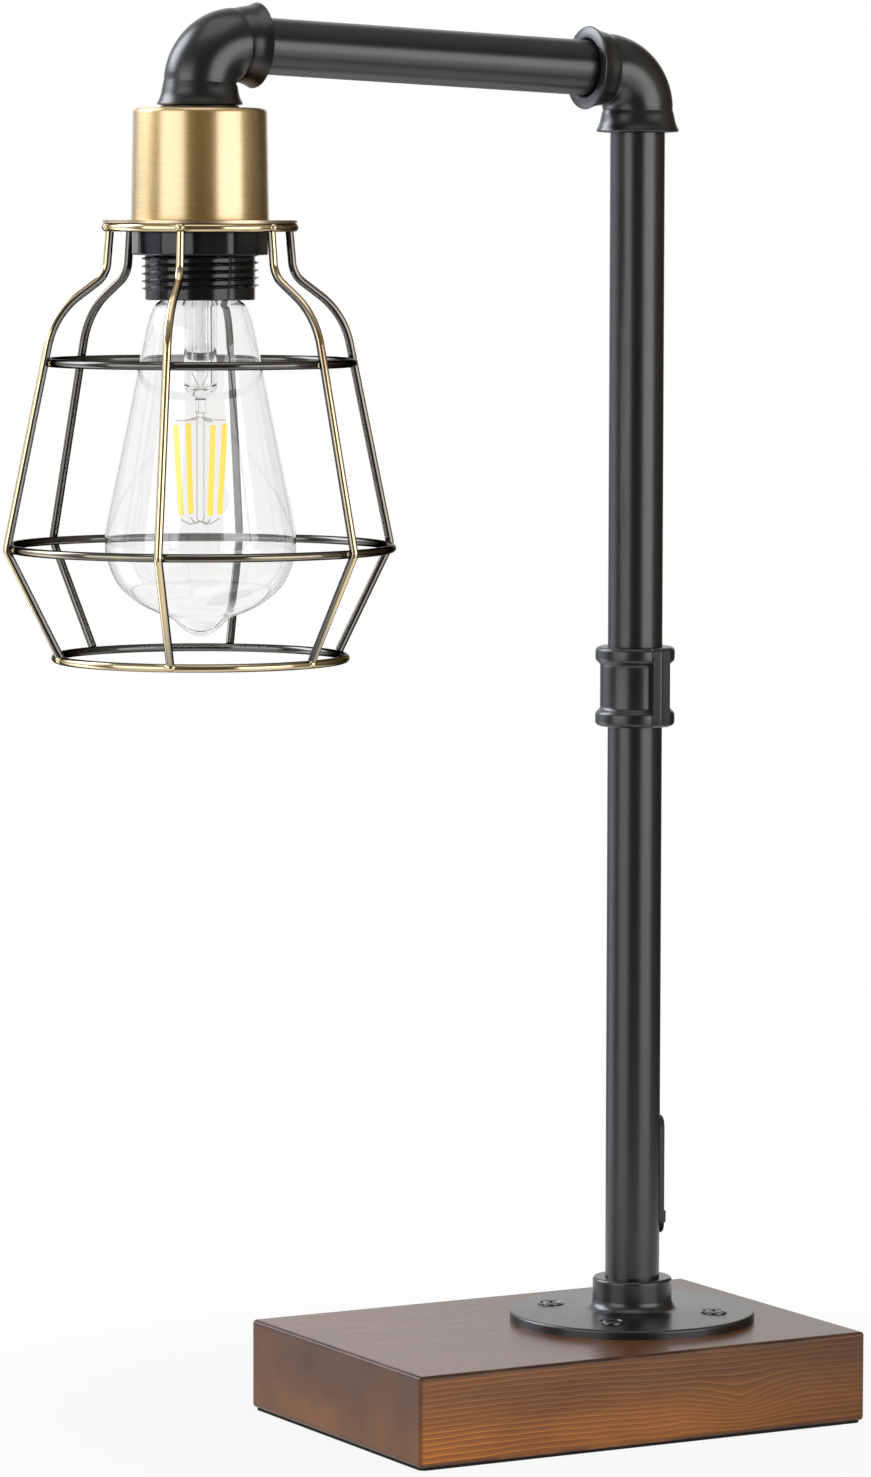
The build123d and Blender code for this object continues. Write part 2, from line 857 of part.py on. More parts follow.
def make_filament_wires():
    wire = filament_wire_diameter / 2
    top_hub = (0, 0, stem_post_height - wire - weld_gap)
    foot_hub = (0, 0, filament_foot_height - filament_diameter / 2 - wire)
    wires = bar(wire, foot_hub, top_hub)
    clear = filament_diameter / 2 + wire
    for turn in around(filament_count):
        wires += turn * bar(wire, top_hub, (filament_top_radius, 0, filament_top_height + clear))
        wires += turn * bar(wire, foot_hub, (filament_foot_radius, 0, filament_foot_height - clear))
    return at_head(wires, bulb_tip)


pieces = {
    "wood_base": make_wood_base(),
    "base_pad": make_base_pad(),
    "cord_grommet": make_cord_grommet(),
    "floor_flange": make_floor_flange(),
    "flange_screws": make_flange_screws(),
    "lower_pipe": make_lower_pipe(),
    "pipe_coupling": make_pipe_coupling(),
    "upper_pipe": make_upper_pipe(),
    "pole_elbow": make_elbow(pole_corner, arm_direction),
    "arm_pipe": make_arm_pipe(),
    "head_elbow": make_elbow(head_corner, -arm_direction),
    "elbow_bushing": make_elbow_bushing(),
    "cup_washer": make_cup_washer(),
    "socket_cup": make_socket_cup(),
    "hollow_nipple": make_hollow_nipple(),
    "nipple_nut": make_nipple_nut(),
    "holder_dome": make_holder_dome(),
    "holder_core": make_holder_core(),
    "screw_shell": make_screw_shell(),
    "centre_contact": make_centre_contact(),
    "holder_skirt": make_holder_skirt(),
    "terminal_screws": make_terminal_screws(),
    "holder_leads": make_holder_leads(),
    "lower_flex": make_lower_flex(),
    "upper_flex": make_upper_flex(),
    "wire_connectors": make_wire_connectors(),
    "switch_plate": make_switch_plate(),
    "switch_module": make_switch_module(),
    "switch_slider": make_switch_slider(),
    "cage_top_plate": make_cage_top_plate(),
    "cage_top_ring": make_cage_ring(cage_top_ring_diameter, wire_diameter / 2),
    "cage_upper_ring": make_cage_ring(2 * upper_ring_radius(), cage_upper_ring_depth),
    "cage_middle_ring": make_cage_ring(cage_middle_ring_diameter, cage_middle_ring_depth),
    "cage_bottom_ring": make_cage_ring(cage_bottom_ring_diameter, cage_bottom_ring_depth),
    "cage_wires": make_cage_wires(),
    "shade_ring": make_shade_ring(),
    "bulb_glass": make_bulb_glass(),
    "bulb_cap": make_bulb_cap(),
    "cap_insulator": make_cap_insulator(),
    "cap_contact": make_cap_contact(),
    "driver_board": make_driver_board(),
    "bulb_stem": make_bulb_stem(),
    "filament_sticks": make_filament_sticks(),
    "filament_wires": make_filament_wires(),
}

os.makedirs("parts", exist_ok=True)
for name, solid in pieces.items():
    export_step(solid, f"parts/{name}.step")
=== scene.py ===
"""Looks of the cage table lamp: finishes, fine shapes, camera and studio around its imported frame."""

import json
import logging
import math
from collections.abc import Callable, Sequence
from dataclasses import dataclass
from enum import Enum

import bmesh
import bpy
import numpy as np
from mathutils import Matrix, Vector


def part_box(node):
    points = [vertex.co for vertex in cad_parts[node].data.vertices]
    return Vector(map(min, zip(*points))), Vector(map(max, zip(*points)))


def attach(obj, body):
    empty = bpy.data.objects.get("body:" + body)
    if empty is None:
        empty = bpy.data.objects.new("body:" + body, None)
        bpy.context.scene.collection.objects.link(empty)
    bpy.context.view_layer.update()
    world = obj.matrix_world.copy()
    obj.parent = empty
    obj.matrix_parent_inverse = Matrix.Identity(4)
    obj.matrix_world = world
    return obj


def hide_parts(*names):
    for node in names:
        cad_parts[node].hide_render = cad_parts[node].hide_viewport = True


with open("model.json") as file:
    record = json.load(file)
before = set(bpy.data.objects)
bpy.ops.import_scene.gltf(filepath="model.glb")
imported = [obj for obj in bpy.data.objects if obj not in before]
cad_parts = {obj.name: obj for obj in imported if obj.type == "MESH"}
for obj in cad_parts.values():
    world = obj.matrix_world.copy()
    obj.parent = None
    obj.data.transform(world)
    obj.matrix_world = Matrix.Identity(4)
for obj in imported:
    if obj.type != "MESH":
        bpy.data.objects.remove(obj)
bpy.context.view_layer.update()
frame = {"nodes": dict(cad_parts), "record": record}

LOG = logging.getLogger("cage_lamp")
MM = 0.001
MERGE_DISTANCE = 0.002 * MM
CREASE = math.radians(38)
BODIES = {node: body for body, nodes in frame["record"]["behaviour"]["bodies"].items() for node in nodes}
SLOTS = {subpart["node"]: subpart["material_slot"] for subpart in frame["record"]["subparts"]}

Pair = tuple[float, float]
Triple = tuple[float, float, float]
Colour = Triple
Outline = list[Pair]
Line = Sequence[tuple[Vector, float]]
Place = Callable[[float], tuple[Vector, Vector, Vector]]
Ripple = Callable[[np.ndarray, np.ndarray, np.ndarray], np.ndarray]
Socket = bpy.types.NodeSocket


class Studio(Enum):
    """Colours that the studio shows to different rays."""

    BACKDROP = (1.0, 1.0, 1.0, 1.0)
    FILL = (0.34, 0.34, 0.345, 1.0)
    FLOOR = (0.9, 0.9, 0.9, 1.0)
    CEILING = (0.35, 0.35, 0.35, 1.0)
    POLISH = (0.5, 0.5, 0.5, 1.0)
    WINDOW = (6.4, 6.7, 7.2, 1.0)
    DAYLIGHT = (0.95, 1.0, 1.15, 1.0)
    PALE_WALL = (0.4, 0.4, 0.42, 1.0)
    GREY_WALL = (0.32, 0.32, 0.32, 1.0)
    WARM_WALL = (0.46, 0.42, 0.36, 1.0)
    BROWN_WALL = (0.27, 0.24, 0.2, 1.0)
    DARK_WALL = (0.11, 0.085, 0.055, 1.0)


class NodeSketch:
    """Adds nodes to one tree and links them."""

    def __init__(self, tree: bpy.types.NodeTree) -> None:
        """Starts from an empty tree."""
        self.tree = tree
        tree.nodes.clear()

    def add(self, kind: str, inputs: dict | None = None, **settings: object) -> bpy.types.Node:
        """Adds a node.

        Args:
            kind: Blender's name of the node type.
            inputs: values or sockets to set or link, by input name or index.
            settings: properties of the node itself.

        Returns:
            The new node.
        """
        node = self.tree.nodes.new(kind)
        for name, value in settings.items():
            setattr(node, name, value)
        self.join(node, inputs or {})
        return node

    def join(self, node: bpy.types.Node, inputs: dict) -> None:
        """Sets or links inputs of a node.

        Args:
            node: the node.
            inputs: values or sockets, by input name or index.
        """
        for key, value in inputs.items():
            if isinstance(value, Socket):
                self.tree.links.new(value, node.inputs[key])
            else:
                node.inputs[key].default_value = value

    def math(self, operation: str, first: object, second: object = 0.0) -> Socket:
        """Result of a math operation on two numbers or sockets."""
        return self.add("ShaderNodeMath", {0: first, 1: second}, operation=operation).outputs[0]

    def mix(self, share: object, first: object, second: object) -> Socket:
        """Colour between two colours."""
        ends = [part if isinstance(part, Socket) else (*part[:3], 1.0) for part in (first, second)]
        return self.add("ShaderNodeMix", {0: share, 6: ends[0], 7: ends[1]}, data_type="RGBA").outputs[2]

    def blend(self, share: object, first: bpy.types.Node, second: bpy.types.Node) -> bpy.types.Node:
        """Shader between two shaders."""
        return self.add("ShaderNodeMixShader", {0: share, 1: first.outputs[0], 2: second.outputs[0]})

    def looks(self) -> tuple[object, Socket]:
        """Kinds of the ray that looks, and whether it comes straight from the camera or through glass."""
        rays = self.add("ShaderNodeLightPath").outputs
        return rays, self.math("MAXIMUM", rays["Is Camera Ray"], rays["Is Transmission Ray"])

    def ramp(self, value: object, stops: Sequence[tuple[float, Sequence[float]]]) -> Socket:
        """Colour from a ramp.

        Args:
            value: position along the ramp.
            stops: position and colour of each stop.

        Returns:
            The colour socket.
        """
        node = self.add("ShaderNodeValToRGB", {0: value})
        elements = node.color_ramp.elements
        while len(elements) < len(stops):
            elements.new(1.0)
        for element, (place, colour) in zip(elements, stops):
            element.position = place
            element.color = (*colour[:3], 1.0)
        return node.outputs["Color"]

    def between(self, value: object, low: float, high: float, blur: float) -> Socket:
        """Share that is 1 between two limits and falls to 0 within a blur outside them."""
        return self.math("SUBTRACT", self.rise(value, low - blur, low), self.rise(value, high, high + blur))

    def spread(self, value: object, low: float, high: float) -> Socket:
        """Number from 0 to 1 spread between a low and a high value."""
        return self.add("ShaderNodeMapRange", {0: value, 3: low, 4: high}).outputs[0]

    def rise(self, value: object, start: float, end: float) -> Socket:
        """Smooth rise from 0 to 1 while a value goes from start to end."""
        inputs = {0: value, 1: start, 2: end}
        return self.add("ShaderNodeMapRange", inputs, interpolation_type="SMOOTHSTEP").outputs[0]

    def object_place(self, stretch: Sequence[float] = (1.0, 1.0, 1.0)) -> Socket:
        """Place on the object, stretched along its axes."""
        place = self.add("ShaderNodeTexCoord").outputs["Object"]
        return self.add("ShaderNodeMapping", {"Vector": place, "Scale": stretch}).outputs[0]

    def noise(self, place: object, scale: float, detail: float = 3.0, waver: float = 0.0) -> Socket:
        """Noise from 0 to 1 at a place."""
        inputs = {"Vector": place, "Scale": scale, "Detail": detail, "Distortion": waver}
        return self.add("ShaderNodeTexNoise", inputs).outputs["Fac"]


@dataclass(frozen=True)
class Finish:
    """Surface finish with mottled colour, uneven gloss and a fine raised grain.

    The mottle and the grain are sizes in metres of what repeats on the surface.
    """

    name: str
    colour: Colour
    roughness: float
    metallic: float = 0.0
    specular: float = 0.5
    mottle: float = 8 * MM
    mottle_share: float = 0.2
    grain: float = 0.5 * MM
    grain_height: float = 0.01 * MM
    gloss_share: float = 0.1

    def material(self) -> bpy.types.Material:
        """The material, made on first use.

        Returns:
            The material.
        """
        found = bpy.data.materials.get(f"{self.name}_finish")
        if found:
            return found
        made = bpy.data.materials.new(f"{self.name}_finish")
        made.use_nodes = True
        sketch = NodeSketch(made.node_tree)
        shader = sketch.add("ShaderNodeBsdfPrincipled")
        self.shade(sketch, shader)
        sketch.add("ShaderNodeOutputMaterial", {"Surface": shader.outputs[0]})
        return made

    def shade(self, sketch: NodeSketch, shader: bpy.types.Node) -> None:
        """Sets the shader's sockets.

        Args:
            sketch: node tree of the material.
            shader: its principled shader.
        """
        place = sketch.object_place()
        cloud = sketch.noise(place, 1 / self.mottle)
        shade = tuple(part * (1 - self.mottle_share) for part in self.colour)
        light = tuple(min(1.0, part * (1 + self.mottle_share)) for part in self.colour)
        self.wire(sketch, shader, sketch.mix(cloud, shade, light), cloud)
        self.emboss(sketch, shader, sketch.noise(place, 1 / self.grain, detail=2.0))

    def wire(self, sketch: NodeSketch, shader: bpy.types.Node, colour: object, cloud: object) -> None:
        """Links colour and uneven gloss, and sets what is the same all over.

        Args:
            sketch: node tree of the material.
            shader: its principled shader.
            colour: colour socket.
            cloud: noise that makes the gloss uneven.
        """
        dullest = min(1.0, self.roughness * (1 + self.gloss_share))
        uneven = sketch.spread(cloud, self.roughness * (1 - self.gloss_share), dullest)
        sketch.join(shader, {"Base Color": colour, "Roughness": uneven})
        sketch.join(shader, {"Metallic": self.metallic, "Specular IOR Level": self.specular})

    def emboss(self, sketch: NodeSketch, shader: bpy.types.Node, height: object) -> None:
        """Raises the surface by a height socket times the height of the grain."""
        inputs = {"Strength": 1.0, "Distance": self.grain_height, "Height": height}
        sketch.join(shader, {"Normal": sketch.add("ShaderNodeBump", inputs).outputs[0]})


@dataclass(frozen=True)
class StainedWood(Finish):
    """Stained softwood: growth rings about a line along X, a swirl at a knot and dark edges.

    A stretch scales a pattern along X, Y and Z, so a small value draws it out.
    """

    late_colour: Colour = (0.085, 0.027, 0.008)
    low_colour: Colour = (0.71, 0.25, 0.042)
    low_heights: Pair = (4 * MM, 25 * MM)
    edge_colour: Colour = (0.028, 0.012, 0.007)
    edge_width: float = 1.5 * MM
    edge_shares: Pair = (0.3, 1.4)
    wear_stretch: Triple = (40.0, 40.0, 40.0)
    wear: Pair = (0.25, 0.6)
    pith: Pair = (25 * MM, -150 * MM)
    ring_spacing: float = 1.7 * MM
    ring_drift: float = 7 * MM
    ring_tones: tuple[Pair, ...] = ((0.0, 0.05), (0.1, 1.0), (0.26, 0.36), (1.0, 0.04))
    ring_strengths: Pair = (0.2, 1.2)
    drift_stretch: Triple = (7.0, 24.0, 24.0)
    drift_waver: float = 0.46
    strength_stretch: Triple = (9.0, 160.0, 160.0)
    cloud_stretch: Triple = (10.0, 34.0, 34.0)
    cloud_waver: float = 0.6
    cloud_tones: Pair = (-0.27, 0.45)
    fibre: float = 0.3 * MM
    fibre_stretch: Triple = (0.025, 1.0, 1.0)
    ring_weight: float = 0.75
    fibre_weight: float = 0.4
    # Painted light: brightness at the block's two ends along X, fading from one to the other.
    fade: Pair = (1.24, 0.54)
    planed_depth: float = 1 * MM
    planed_strength: float = 0.5
    end_depths: Pair = (0.3 * MM, 1.5 * MM)
    end_strength: float = 0.3
    end_brightness: float = 0.62
    knot_place: Triple = (38 * MM, -61 * MM, 13 * MM)
    knot_reach: Triple = (26 * MM, 30 * MM, 13 * MM)
    knot_swell: float = 5.5 * MM
    knot_power: float = 1.5

    def shade(self, sketch: NodeSketch, shader: bpy.types.Node) -> None:
        """Sets the shader's sockets: rings, fibres, darker edges and a satin stain.

        Args:
            sketch: node tree of the material.
            shader: its principled shader.
        """
        parts = sketch.add("ShaderNodeSeparateXYZ", {0: sketch.object_place()}).outputs
        fibres = sketch.noise(sketch.object_place(self.fibre_stretch), 1 / self.fibre)
        place = sketch.object_place(self.cloud_stretch)
        cloud = sketch.noise(place, scale=1.0, detail=4.0, waver=self.cloud_waver)
        rings = sketch.math("MULTIPLY", self.rings(sketch, parts), self.strength(sketch, parts))
        lines = sketch.math("MULTIPLY", rings, self.ring_weight)
        tone = sketch.math("ADD", lines, sketch.math("MULTIPLY", fibres, self.fibre_weight))
        tone = sketch.math("ADD", tone, sketch.spread(cloud, *self.cloud_tones))
        low = sketch.math("SUBTRACT", 1.0, sketch.rise(parts["Z"], *self.low_heights))
        early = sketch.mix(low, self.colour, self.low_colour)
        stain = sketch.mix(tone, self.late_colour, early)
        # The stain scaled by painted light along the block and by darker end grain.
        scaled = {0: stain, "Scale": self.depth(sketch, parts)}
        uneven = sketch.add("ShaderNodeVectorMath", scaled, operation="SCALE").outputs[0]
        colour = sketch.mix(self.edges(sketch, parts), uneven, self.edge_colour)
        self.wire(sketch, shader, colour, cloud)
        self.emboss(sketch, shader, sketch.math("ADD", fibres, rings))

    def strength(self, sketch: NodeSketch, parts: object) -> Socket:
        """How clearly the rings show: unevenly, and less on the planed top and on the end grain.

        Args:
            sketch: node tree of the material.
            parts: outputs that hold the place's X, Y and Z.

        Returns:
            The strength socket.
        """
        patches = sketch.noise(sketch.object_place(self.strength_stretch), scale=1.0, detail=2.0)
        ends = sketch.spread(self.long_grain(sketch, parts), self.end_strength, 1.0)
        strength = sketch.math("MULTIPLY", sketch.spread(patches, *self.ring_strengths), ends)
        top = NodeBox.of("wood_base").high.z
        near_top = sketch.rise(parts["Z"], top - self.planed_depth, top)
        return sketch.math("MULTIPLY", strength, sketch.spread(near_top, 1.0, self.planed_strength))

    def rings(self, sketch: NodeSketch, parts: object) -> Socket:
        """Growth rings, from 0 in late wood to 1 in early wood.

        Args:
            sketch: node tree of the material.
            parts: outputs that hold the place's X, Y and Z.

        Returns:
            The ring socket.
        """
        across = sketch.math("SUBTRACT", parts["Y"], self.pith[0])
        above = sketch.math("SUBTRACT", parts["Z"], self.pith[1])
        squares = sketch.math("ADD", sketch.math("POWER", across, 2.0), sketch.math("POWER", above, 2.0))
        distance = sketch.math("SQRT", squares)
        place = sketch.object_place(self.drift_stretch)
        drift = sketch.noise(place, scale=1.0, detail=5.0, waver=self.drift_waver)
        distance = sketch.math("ADD", distance, sketch.math("MULTIPLY", drift, self.ring_drift))
        knot = sketch.add("ShaderNodeTexGradient", {0: self.knot_field(sketch)}, gradient_type="SPHERICAL")
        swell = sketch.math("POWER", knot.outputs["Fac"], self.knot_power)
        swell = sketch.math("MULTIPLY", swell, self.knot_swell)
        turns = sketch.math("DIVIDE", sketch.math("ADD", distance, swell), self.ring_spacing)
        return sketch.ramp(sketch.math("FRACT", turns), [(age, (tone,) * 3) for age, tone in self.ring_tones])

    def depth(self, sketch: NodeSketch, parts: object) -> Socket:
        """Brightness of the wood: painted light fading along the block, times darker end grain.

        Args:
            sketch: node tree of the material.
            parts: outputs that hold the place's X, Y and Z.

        Returns:
            The brightness socket.
        """
        block = NodeBox.of("wood_base")
        # Painted light: brightness that fades along X across the block.
        limits = {0: parts["X"], 1: block.low.x, 2: block.high.x, 3: self.fade[0], 4: self.fade[1]}
        fade = sketch.add("ShaderNodeMapRange", limits).outputs[0]
        ends = sketch.spread(self.long_grain(sketch, parts), self.end_brightness, 1.0)
        return sketch.math("MULTIPLY", fade, ends)

    def long_grain(self, sketch: NodeSketch, parts: object) -> Socket:
        """Share of long grain, from 0 on the block's ends to 1 along its sides.

        Args:
            sketch: node tree of the material.
            parts: outputs that hold the place's X, Y and Z.

        Returns:
            The share socket.
        """
        block = NodeBox.of("wood_base")
        offset = sketch.math("ABSOLUTE", sketch.math("SUBTRACT", parts["X"], block.middle.x))
        return sketch.rise(sketch.math("SUBTRACT", block.radius, offset), *self.end_depths)

    def knot_field(self, sketch: NodeSketch) -> Socket:
        """Place measured from the knot, in units of its reach.

        Args:
            sketch: node tree of the material.

        Returns:
            The place socket.
        """
        place = sketch.add("ShaderNodeTexCoord").outputs["Object"]
        inputs = {"Vector": place, "Location": self.knot_place, "Scale": self.knot_reach}
        return sketch.add("ShaderNodeMapping", inputs, vector_type="TEXTURE").outputs[0]

    def edges(self, sketch: NodeSketch, parts: object) -> Socket:
        """Share of dark stain that collects along the block's edges.

        Args:
            sketch: node tree of the material.
            parts: outputs that hold the place's X, Y and Z.

        Returns:
            The share socket.
        """
        block = NodeBox.of("wood_base")
        depths = []
        for axis, middle, high in zip("XYZ", block.middle, block.high):
            offset = sketch.math("ABSOLUTE", sketch.math("SUBTRACT", parts[axis], middle))
            depths.append(sketch.math("SUBTRACT", high - middle, offset))
        sides = sketch.math("MINIMUM", depths[0], depths[1])
        nearest = sketch.math("ADD", sides, depths[2])
        limits = (share * self.edge_width for share in self.edge_shares)
        dark = sketch.math("SUBTRACT", 1.0, sketch.rise(nearest, *limits))
        worn = sketch.noise(sketch.object_place(self.wear_stretch), scale=1.0)
        return sketch.math("MULTIPLY", dark, sketch.rise(worn, *self.wear))


@dataclass(frozen=True)
class RubbedAndSheenBrass(Finish):
    """Plated wire, brass outside and dark inside: rubbed plating and painted reflection and shade."""

    # Dark plating, which on inward faces is also painted shade.
    dark: Colour = (0.15, 0.145, 0.135)
    edge_tint: Colour = (0.1, 0.09, 0.075)
    patchiness: float = 0.16
    rub_and_sheen_limits: Pair = (0.1, 0.7)

    def shade(self, sketch: NodeSketch, shader: bpy.types.Node) -> None:
        """Sets the shader's sockets from the piece's own attribute of rubbed plating and painted sheen.

        Args:
            sketch: node tree of the material.
            shader: its principled shader.
        """
        sketch.join(shader, {"Specular Tint": (*self.edge_tint, 1.0)})
        place = sketch.object_place()
        relief = sketch.add("ShaderNodeAttribute", attribute_name="relief").outputs["Fac"]
        cloud = sketch.noise(place, 1 / self.mottle)
        patches = sketch.math("MULTIPLY", sketch.math("SUBTRACT", cloud, 0.5), self.patchiness)
        share = sketch.rise(sketch.math("ADD", relief, patches), *self.rub_and_sheen_limits)
        # Painted reflection and shade: brass where faces point outwards, dark plating where they point
        # inwards.
        self.wire(sketch, shader, sketch.mix(share, self.dark, self.colour), cloud)
        self.emboss(sketch, shader, sketch.noise(place, 1 / self.grain, detail=2.0))


@dataclass(frozen=True)
class BrushedMetal(Finish):
    """Lacquered metal, brushed round the piece along the first direction of its own map."""

    scratches_round: float = 14.0
    anisotropy: float = 0.65
    quarter_turn: float = 0.25
    lacquer_index: float = 2.5
    lacquer_roughness: float = 0.22

    def shade(self, sketch: NodeSketch, shader: bpy.types.Node) -> None:
        """Sets the shader's sockets: long scratches round the piece.

        Args:
            sketch: node tree of the material.
            shader: its principled shader.
        """
        place = sketch.add("ShaderNodeTexCoord").outputs["UV"]
        scale = (self.scratches_round, 1 / self.grain, 1.0)
        stretched = sketch.add("ShaderNodeMapping", {"Vector": place, "Scale": scale})
        scratches = sketch.noise(stretched.outputs[0], scale=1.0, detail=4.0)
        shade = tuple(part * (1 - self.mottle_share) for part in self.colour)
        self.wire(sketch, shader, sketch.mix(scratches, shade, self.colour), scratches)
        tangent = sketch.add("ShaderNodeTangent", direction_type="UV_MAP")
        sketch.join(shader, {
            "Anisotropic": self.anisotropy, "Anisotropic Rotation": self.quarter_turn, "Coat Weight": 1.0,
            "Coat IOR": self.lacquer_index, "Coat Roughness": self.lacquer_roughness,
            "Tangent": tangent.outputs[0],
        })
        self.emboss(sketch, shader, scratches)


@dataclass(frozen=True)
class ClearGlass(Finish):
    """Clear blown glass."""

    index: float = 1.45

    def shade(self, sketch: NodeSketch, shader: bpy.types.Node) -> None:
        """Sets the shader's sockets: clear, with a faint ripple from blowing.

        Args:
            sketch: node tree of the material.
            shader: its principled shader.
        """
        sketch.join(shader, {"Base Color": (*self.colour, 1.0), "Roughness": self.roughness})
        sketch.join(shader, {"IOR": self.index, "Transmission Weight": 1.0})
        self.emboss(sketch, shader, sketch.noise(sketch.object_place(), 1 / self.mottle, detail=1.0))


@dataclass(frozen=True)
class Phosphor(Finish):
    """Yellow phosphor coat of an unlit filament stick, with a painted glow that brightens it."""

    painted_glow: float = 0.5

    def shade(self, sketch: NodeSketch, shader: bpy.types.Node) -> None:
        """Sets the shader's sockets."""
        super().shade(sketch, shader)
        # Painted glow: the stick is unlit, and this emission only brightens its colour.
        sketch.join(shader, {"Emission Color": (*self.colour, 1.0), "Emission Strength": self.painted_glow})


FINISHES: dict[str, Finish] = {
    finish.name: finish
    for finish in (
        StainedWood(
            "stained_wood", (0.37, 0.158, 0.058), roughness=0.26, specular=0.28,
            grain_height=0.012 * MM,
        ),
        Finish("black_pad", (0.018, 0.017, 0.016), roughness=0.9, specular=0.2, grain_height=0.08 * MM),
        Finish(
            "black_pipe", (0.0045, 0.0045, 0.0047), roughness=0.29, specular=0.85,
            grain=0.7 * MM, grain_height=0.004 * MM,
        ),
        Finish("screw_metal", (0.01, 0.01, 0.01), roughness=0.22, specular=0.9),
        BrushedMetal(
            "brushed_brass", (0.855, 0.57, 0.165), roughness=0.4, metallic=1.0,
            mottle_share=0.4, grain_height=0.004 * MM,
        ),
        RubbedAndSheenBrass(
            "cage_metal", (0.79, 0.64, 0.395), roughness=0.13, metallic=1.0,
            mottle=14 * MM, grain=3 * MM, grain_height=0.0005 * MM,
        ),
        Finish("cage_plate", (0.6, 0.47, 0.32), roughness=0.3, metallic=1.0, mottle=6 * MM),
        Finish(
            "black_gloss", (0.006, 0.006, 0.006), roughness=0.16, mottle=3 * MM,
            grain=2 * MM, grain_height=0.0015 * MM,
        ),
        Finish("black_plastic", (0.012, 0.012, 0.012), roughness=0.45),
        Finish("inner_steel", (0.5, 0.5, 0.49), roughness=0.35, metallic=1.0),
        Finish("contact_brass", (0.75, 0.56, 0.26), roughness=0.3, metallic=1.0),
        Finish("flex_sheath", (0.02, 0.02, 0.02), roughness=0.6),
        Finish("white_insulator", (0.8, 0.78, 0.73), roughness=0.5, mottle_share=0.05),
        ClearGlass(
            "clear_glass", (0.957, 0.959, 0.959), roughness=0.0, mottle=40 * MM,
            grain_height=0.0004 * MM,
        ),
        ClearGlass("stem_glass", (0.97, 0.972, 0.972), roughness=0.0, mottle=9 * MM, index=1.2),
        Finish("cap_metal", (0.72, 0.71, 0.69), roughness=0.3, metallic=1.0),
        Phosphor("filament", (1.0, 0.66, 0.085), roughness=0.45, mottle=1.5 * MM, mottle_share=0.08),
        Finish("lead_wire", (0.55, 0.53, 0.5), roughness=0.3, metallic=1.0),
        Finish("board", (0.05, 0.2, 0.07), roughness=0.4),
    )
}


@dataclass(frozen=True)
class NodeBox:
    """Box of a CAD node at rest, in metres."""

    low: Vector
    high: Vector

    @classmethod
    def of(cls, node: str) -> "NodeBox":
        """Box of the node with that name."""
        return cls(*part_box(node))

    @property
    def middle(self) -> Vector:
        """Middle of the box."""
        return (self.low + self.high) / 2

    @property
    def radius(self) -> float:
        """Half of the box's length along X."""
        return (self.high.x - self.low.x) / 2


def hand_over(piece: bpy.types.Object, *nodes: str) -> None:
    """Lets a finished piece stand for CAD nodes, on their body and in their material slot.

    Args:
        piece: object that shows instead of the nodes.
        nodes: names of the nodes, all on one body.
    """
    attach(piece, BODIES[nodes[0]])
    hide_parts(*nodes)
    LOG.info("built %s for %s", piece.name, ", ".join(nodes))


def add_along(piece: bpy.types.Object, node: str) -> None:
    """Lets a finished piece ride beside a CAD node, in that node's material slot.

    Args:
        piece: object that shows beside the node.
        node: name of the node.
    """
    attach(piece, BODIES[node])
    LOG.info("added %s beside %s", piece.name, node)


def placed(name: str, data: bpy.types.ID) -> bpy.types.Object:
    """New object in the scene, of a mesh, a lamp or a camera.

    Args:
        name: name of the object.
        data: what it shows.

    Returns:
        The object.
    """
    made = bpy.data.objects.new(name, data)
    bpy.context.scene.collection.objects.link(made)
    return made


def mesh_of(name: str, shape: bmesh.types.BMesh) -> bpy.types.Mesh:
    """New mesh of a shape, which is freed.

    Args:
        name: name of the mesh.
        shape: shape with its faces.

    Returns:
        The mesh.
    """
    mesh = bpy.data.meshes.new(name)
    shape.to_mesh(mesh)
    shape.free()
    return mesh


def settle(mesh: bpy.types.Mesh) -> None:
    """Merges a mesh's doubles, turns its faces outwards and smooths all but its sharp edges.

    Args:
        mesh: mesh that is changed in place.
    """
    shape = bmesh.new()
    shape.from_mesh(mesh)
    bmesh.ops.remove_doubles(shape, verts=shape.verts, dist=MERGE_DISTANCE)
    bmesh.ops.delete(shape, geom=[edge for edge in shape.edges if not edge.link_faces], context="EDGES")
    bmesh.ops.recalc_face_normals(shape, faces=shape.faces)
    for face in shape.faces:
        face.smooth = True
    for edge in shape.edges:
        edge.smooth = edge.calc_face_angle(0.0) < CREASE
    shape.to_mesh(mesh)
    shape.free()


def shown(name: str, mesh: bpy.types.Mesh, node: str) -> bpy.types.Object:
    """Object of a mesh, with the finish of a CAD node.

    Args:
        name: name of the object.
        mesh: its mesh, in place.
        node: node whose material slot it has.

    Returns:
        The object, in the scene.
    """
    settle(mesh)
    mesh.materials.clear()
    mesh.materials.append(FINISHES[SLOTS[node]].material())
    return placed(name, mesh)


def smoothstep(value: np.ndarray, start: float, end: float) -> np.ndarray:
    """Smooth rise from 0 to 1 while a value goes from start to end."""
    share = np.clip((value - start) / (end - start), 0.0, 1.0)
    return share * share * (3 - 2 * share)


def rounded(corners: Sequence[Triple], steps: int = 6) -> Outline:
    """Closed outline with rounded corners.

    Args:
        corners: the two coordinates of each corner and its rounding radius.
        steps: points on each rounding.

    Returns:
        Points of the outline.
    """
    outline: Outline = []
    count = len(corners)
    for index, (along, out, radius) in enumerate(corners):
        corner = Vector((along, out))
        if radius <= 0:
            outline.append((along, out))
            continue
        before = (Vector(corners[index - 1][:2]) - corner).normalized()
        after = (Vector(corners[(index + 1) % count][:2]) - corner).normalized()
        half = before.angle(after) / 2
        centre = corner + (before + after).normalized() * (radius / math.sin(half))
        start = corner + before * (radius / math.tan(half)) - centre
        end = corner + after * (radius / math.tan(half)) - centre
        sweep = start.angle(end)
        for step in range(steps + 1):
            share = step / steps
            arm = (start * math.sin((1 - share) * sweep) + end * math.sin(share * sweep)) / math.sin(sweep)
            outline.append(tuple(centre + arm))
    return outline


